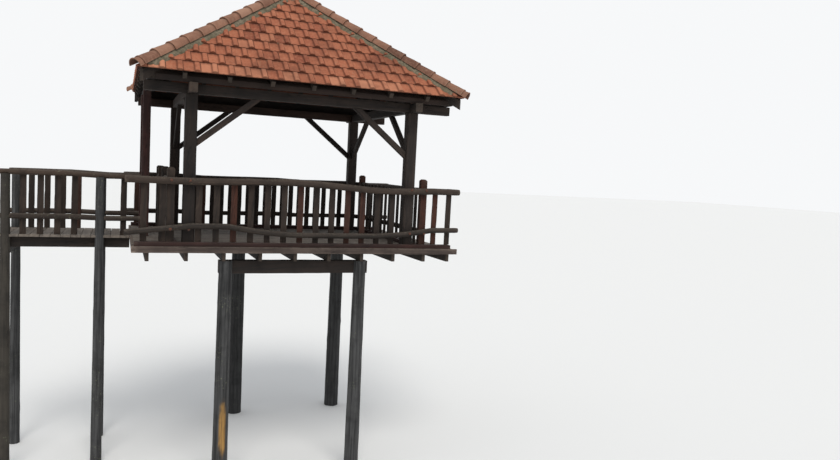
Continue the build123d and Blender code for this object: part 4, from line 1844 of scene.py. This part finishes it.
@dataclass
class ApexCap:
    """The domed clay cap over the meeting of the four hips, in a collar of mortar."""

    roof: Roof
    radius: float = 0.190
    dome: float = 0.210
    drop: float = 0.060
    sides: int = 48
    rings: int = 12
    crown_radius: float = 0.004
    clay_roughness: float = 0.0012
    clay_tint: float = 0.42
    mortar_roughness: float = 0.005
    mortar_tint: float = 0.5
    rough_scale: float = 9.0
    rough_round: float = 0.4

    def build(self) -> list[bpy.types.Object]:
        """Make the dome and its collar, whose outlines start from the dome's own radius.

        Returns:
            The two pieces.
        """
        shape, collar = Shape(), Shape()
        rim = math.asin(self.radius / self.dome)
        outline = [(self.radius + more, height) for more, height in CAP_SKIRT]
        for index in range(self.rings):
            angle = rim * (1 - index / self.rings)
            outline.append((self.dome * math.sin(angle), self.dome * math.cos(angle)))
        outline.append((self.crown_radius, self.dome))
        self.turn(shape, outline, self.clay_roughness, self.clay_tint)
        outline = [(self.radius + more, height) for more, height in COLLAR]
        self.turn(collar, outline, self.mortar_roughness, self.mortar_tint)
        cap = shape.piece("apex_cap_clay", "clay_hip_caps", Slot.CLAY_CAP, ("apex_cap",), 50.0)
        return [cap, collar.piece("apex_collar", "hip_mortar", Slot.MORTAR, (), 80.0)]

    def turn(self, shape: Shape, outline: list[tuple[float, float]], roughness: float, tint: float) -> None:
        """Turn an outline round the apex with a hand-made surface.

        Args:
            shape: The shape that it joins.
            outline: Radii and heights from bottom to top.
            roughness: How uneven the surface is.
            tint: The colour number.
        """
        centre = self.roof.centre + UP * (self.roof.apex - self.drop)
        rings, board = [], []
        for radius, height in outline:
            ring = []
            for step in range(self.sides):
                angle = math.tau * step / self.sides
                way = Vector((math.cos(angle), math.sin(angle), 0))
                place = way * self.rough_round + UP * height
                hollow = (1 + drift(place, self.rough_scale, tint * 10)) / 2 * min(1.0, radius * 20)
                ring.append(centre + way * (radius - roughness * hollow) + UP * height)
            rings.append(ring)
            board.append([Vector((height, radius, step * 0.02)) for step in range(self.sides)])
        shape.tube(rings, board, tint)


@dataclass
class RailBolts:
    """Round-headed bolts that hold the log rails to the posts."""

    washer_radius: float = 0.021
    washer_rise: float = 0.003
    head_radius: float = 0.012
    head_crown: float = 0.6
    head_edge: float = 0.003
    stand: float = 0.012
    shank: float = 0.006
    sides: int = 16
    row_depth: float = 0.1

    def build(self) -> bpy.types.Object:
        """Put a bolt through the front and back rails at every post.

        Returns:
            The piece.
        """
        shape = Shape()
        posts = self.post_places("columns") + self.post_places("newel_posts")
        limit = max(abs(place.y) for place in posts) - self.row_depth
        posts = [post for post in posts if abs(post.y) >= limit]
        for node in ("top_rails", "low_rails"):
            tree = BVHTree.FromBMesh(self.mesh_of(node))
            middle = sum(corner.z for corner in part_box(node)) / 2
            for post in posts:
                out = NORTH * math.copysign(1, post.y)
                start = Vector((post.x, 0, middle)) + out * 3
                hit = tree.ray_cast(start, -out)[0]
                if hit is not None and abs(hit.y) > abs(post.y):
                    self.bolt(shape, hit, out)
        return shape.piece("rail_bolts", "bolt_iron", Slot.DARK_TIMBER, (), 40.0)

    @staticmethod
    def mesh_of(node: str) -> bmesh.types.BMesh:
        """Copy a node's mesh to work on.

        Args:
            node: The node's name.

        Returns:
            The copy.
        """
        work = bmesh.new()
        work.from_mesh(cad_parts[node].data)
        return work

    @staticmethod
    def post_places(node: str) -> list[Vector]:
        """Find the centre of every post of a node.

        Args:
            node: The node's name.

        Returns:
            The centres.
        """
        places = []
        for post in islands(node):
            places.append(sum((vert.co for vert in post.verts), Vector()) / len(post.verts))
            post.free()
        return places

    def bolt(self, shape: Shape, place: Vector, out: Vector) -> None:
        """Make one washer and head.

        Args:
            shape: The shape that it joins.
            place: Where the bolt leaves the rail.
            out: The way that it faces.
        """
        outline = (
            (self.washer_radius, -self.shank),
            (self.washer_radius, self.washer_rise),
            (self.head_radius, self.washer_rise + 0.001),
            (self.head_radius, self.stand - self.head_edge),
            (self.head_radius * self.head_crown, self.stand),
        )
        rings = []
        for radius, depth in outline:
            ring = []
            for step in range(self.sides):
                angle = math.tau * step / self.sides
                way = EAST * math.cos(angle) + UP * math.sin(angle)
                ring.append(place + out * depth + way * radius)
            rings.append(ring)
        shape.tube(rings, rings, 0.5)


# The parts of the tree house


@dataclass
class Substructure:
    """Stilts, beams, joists and the floor of the hut."""

    stilts: tuple[StiltLog, ...] = (
        StiltLog("front_left", 41, 0.097, (PeeledPatch(height=0.9, half_length=0.46, angle=-1.45),)),
        StiltLog("front_right", 42, 0.097),
        StiltLog("back_left", 43, 0.125),
        StiltLog("back_right", 44, 0.125),
    )
    timbers: tuple[Timbers, ...] = (
        Timbers("cross_beam_front", 11, arris=0.012, wear=0.006),
        Timbers("cross_beam_back", 12, arris=0.012, wear=0.006),
        Timbers("deck_joists", 13),
        Timbers("edge_boards_long", 14, 0.004, 0.004, "worn_edge_board", Slot.GREY_BOARDS, station=0.1),
        Timbers("edge_boards_short", 15, 0.004, 0.004, "worn_edge_board", Slot.GREY_BOARDS, station=0.1),
    )

    def build(self) -> None:
        """Build every piece under the floor and the floor itself."""
        for part in (*self.stilts, *self.timbers, PlankFloor("deck_floor", along_x=True)):
            part.build()


@dataclass
class TimberFrame:
    """Columns, ties, braces and the roof timbers."""

    timbers: tuple[Timbers, ...] = (
        Timbers("columns", 21, wear=0.004),
        Timbers("tie_beams_long", 22, arris=0.008, wear=0.004),
        Timbers("tie_beams_short", 23, arris=0.008, wear=0.004),
        Timbers("knee_braces", 24),
        Timbers("eave_purlins_long", 25),
        Timbers("eave_purlins_short", 26),
        Timbers("rafters", 27, arris=0.004, wear=0.002, station=0.25),
        Timbers("hip_rafters", 28, arris=0.005, wear=0.002, station=0.25),
        Timbers("tile_battens", 29, arris=0.002, wear=0.0015, station=0.4),
        Timbers("king_post", 30, arris=0.003, wear=0.002),
    )

    def build(self) -> None:
        """Build every timber of the frame."""
        for part in self.timbers:
            part.build()


@dataclass
class TiledRoof:
    """Tiles, hip caps, mortar and the apex cap."""

    roof: Roof = field(default_factory=Roof)

    def build(self) -> None:
        """Build the roof's covering."""
        for side in Side:
            TileField(self.roof, side).build()
        hips = []
        for y_name, y_side in (("front", -1), ("back", 1)):
            for x_name, x_side in (("left", -1), ("right", 1)):
                hip = HipLine(self.roof, x_side, y_side)
                hips.append(hip)
                HipCaps(hip, f"hip_caps_{y_name}_{x_name}").build()
        MortarBeds(hips).build()
        ApexCap(self.roof).build()


def slabs(node: str, seed: int, red_and_sunlit_places: tuple[float, ...] = ()) -> Timbers:
    """The split slabs of one side of a railing, with wandering live edges.

    Args:
        node: The node's name.
        seed: The seed of their wear.
        red_and_sunlit_places: Where a slab is tinted red, some as painted sunlight.

    Returns:
        The slabs, ready to build.
    """
    return Timbers(node, seed, arris=0.004, wear=0.002, finish="split_slabs", live_edge=0.007,
                   station=0.07, red_and_sunlit_places=red_and_sunlit_places)


@dataclass
class Railing:
    """Posts, sills, split slabs and log rails round the deck."""

    timbers: tuple[Timbers, ...] = (
        Timbers("newel_posts", 51, 0.008, 0.004, "split_slabs", Slot.RED_TIMBER, red_and_sunlit_places=(2.7825,)),
        Timbers("entry_posts", 52, 0.008, 0.004, "red_stained_timber", Slot.RED_TIMBER),
        Timbers("sills", 53, 0.006, 0.004, "red_stained_timber", Slot.RED_TIMBER, station=0.12),
        # The slab at -0.22 is tinted red as painted sunlight, where the sun lights it.
        slabs("balusters_front", 54, red_and_sunlit_places=(-0.22, 0.785, 1.51, 1.76, 2.98)),
        slabs("balusters_back", 55),
        slabs("balusters_left", 56),
        slabs("balusters_right", 57),
    )
    rails: tuple[RailLogs, ...] = (RailLogs("top_rails", 61), RailLogs("low_rails", 62))

    def build(self) -> None:
        """Build the railing."""
        for part in (*self.timbers, *self.rails, RailBolts()):
            part.build()


@dataclass
class Walkway:
    """The walkway's floor, stilts and railings."""

    timbers: tuple[Timbers, ...] = (
        Timbers("walkway_bearers", 71, arris=0.008, wear=0.004),
        Timbers("walkway_crosspieces", 72, arris=0.008, wear=0.004),
        slabs("walkway_balusters", 73),
    )
    rails: tuple[RailLogs, ...] = (
        RailLogs("walkway_top_rails", 74, axis=0),
        RailLogs("walkway_low_rails", 75, axis=0, tuck=0.012),
    )

    def build(self) -> None:
        """Build the walkway, its floor last."""
        for part in (*self.timbers, *self.rails, WalkwayStilts()):
            part.build()
        PlankFloor("walkway_floor", along_x=False, seed=76).build()


# Stage


@dataclass(frozen=True)
class Studio:
    """A pale floor, soft light and the camera of the photograph's view."""

    camera_place: tuple[float, float, float] = (-1.7315, -12.2468, 4.7709)
    focal_pixels: float = 714.6
    yaw: float = 0.3993
    pitch: float = 0.0763
    roll: float = 0.0516
    floor_size: float = 400.0
    sky_strength: float = 0.75
    sun_strength: float = 1.6
    sun_angle: float = 0.5
    sun_turn: tuple[float, float, float] = (0.62, 0.1, -0.25)
    sun_colour: Colour = (1.0, 0.97, 0.92)
    sky_colour: Colour = (0.93, 0.96, 1.0)
    backdrop_colour: Colour = (0.93, 0.94, 0.95)
    floor_colour: Colour = (0.78, 0.78, 0.77)
    floor_roughness: float = 0.9
    farthest: float = 1000.0

    def build(self) -> None:
        """Set up the floor, lights, world and camera."""
        scene = bpy.context.scene
        scene.view_settings.view_transform = "Standard"
        self.floor()
        self.sky(scene)
        self.sun(scene)
        self.camera(scene)

    def floor(self) -> None:
        """Lay a wide pale floor under the object."""
        half = self.floor_size / 2
        corners = [(-half, -half, 0), (half, -half, 0), (half, half, 0), (-half, half, 0)]
        mesh = bpy.data.meshes.new("studio_floor")
        mesh.from_pydata(corners, [], [(0, 1, 2, 3)])
        material, _, shader = new_material("studio_floor")
        shader.inputs["Base Color"].default_value = (*self.floor_colour, 1)
        shader.inputs["Roughness"].default_value = self.floor_roughness
        mesh.materials.append(material)
        floor = bpy.data.objects.new("studio_floor", mesh)
        bpy.context.scene.collection.objects.link(floor)
        floor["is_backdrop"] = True

    def sky(self, scene: bpy.types.Scene) -> None:
        """Light the scene evenly from all round.

        Args:
            scene: The scene.
        """
        world = bpy.data.worlds.new("studio_sky")
        world.use_nodes = True
        tree = world.node_tree
        tree.nodes.clear()
        graph = Graph(tree)
        path = graph.add("LightPath")
        seen = graph.math("MAXIMUM", path.outputs["Is Camera Ray"], path.outputs["Is Glossy Ray"])
        seen = graph.math("MAXIMUM", seen, path.outputs["Is Transmission Ray"])
        soft = graph.add("Background", {"Color": self.sky_colour, "Strength": self.sky_strength})
        white = graph.add("Background", {"Color": self.backdrop_colour, "Strength": 1.0})
        mixed = graph.add("MixShader", {0: seen, 1: soft.outputs[0], 2: white.outputs[0]})
        output = graph.add("OutputWorld")
        tree.links.new(mixed.outputs[0], output.inputs["Surface"])
        scene.world = world

    def sun(self, scene: bpy.types.Scene) -> None:
        """Add one soft high lamp from the front left.

        Args:
            scene: The scene.
        """
        lamp = bpy.data.lights.new("studio_sun", "SUN")
        lamp.energy = self.sun_strength
        lamp.angle = self.sun_angle
        lamp.color = self.sun_colour
        item = bpy.data.objects.new("studio_sun", lamp)
        item.rotation_euler = self.sun_turn
        scene.collection.objects.link(item)

    def camera(self, scene: bpy.types.Scene) -> None:
        """Set the camera where the photograph was taken from.

        Args:
            scene: The scene.
        """
        forward = Vector((math.sin(self.yaw), math.cos(self.yaw), 0))
        right = Vector((math.cos(self.yaw), -math.sin(self.yaw), 0))
        aim = forward * math.cos(self.pitch) - UP * math.sin(self.pitch)
        top = forward * math.sin(self.pitch) + UP * math.cos(self.pitch)
        right, top = (right * math.cos(self.roll) + top * math.sin(self.roll),
                      top * math.cos(self.roll) - right * math.sin(self.roll))
        data = bpy.data.cameras.new("photo_view")
        data.sensor_width = SENSOR_WIDTH
        data.lens = self.focal_pixels * SENSOR_WIDTH / IMAGE_WIDTH
        data.clip_end = self.farthest
        item = bpy.data.objects.new("photo_view", data)
        turn = Matrix((right, top, -aim)).transposed().to_4x4()
        item.matrix_world = Matrix.Translation(Vector(self.camera_place)) @ turn
        scene.collection.objects.link(item)
        scene.camera = item


def write_sizes() -> None:
    """Work out the solids' box and the dressed model's box."""
    boxes = {"cad": CAD_BOX, "visual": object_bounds()}
    {key: [list(corner) for corner in box] for key, box in boxes.items()}


def main() -> None:
    """Build the tree house from the ground up, then the stage."""
    logging.basicConfig(level=logging.INFO, format="%(message)s")
    grain_group()
    wear_group()
    grime_group()
    for finish in FINISHES:
        finish.build()
    for part in (Substructure(), TimberFrame(), TiledRoof(), Railing(), Walkway(), Studio()):
        part.build()
        log.info("%s is in place", type(part).__name__)
    write_sizes()


if __name__ == "__main__":
    main()
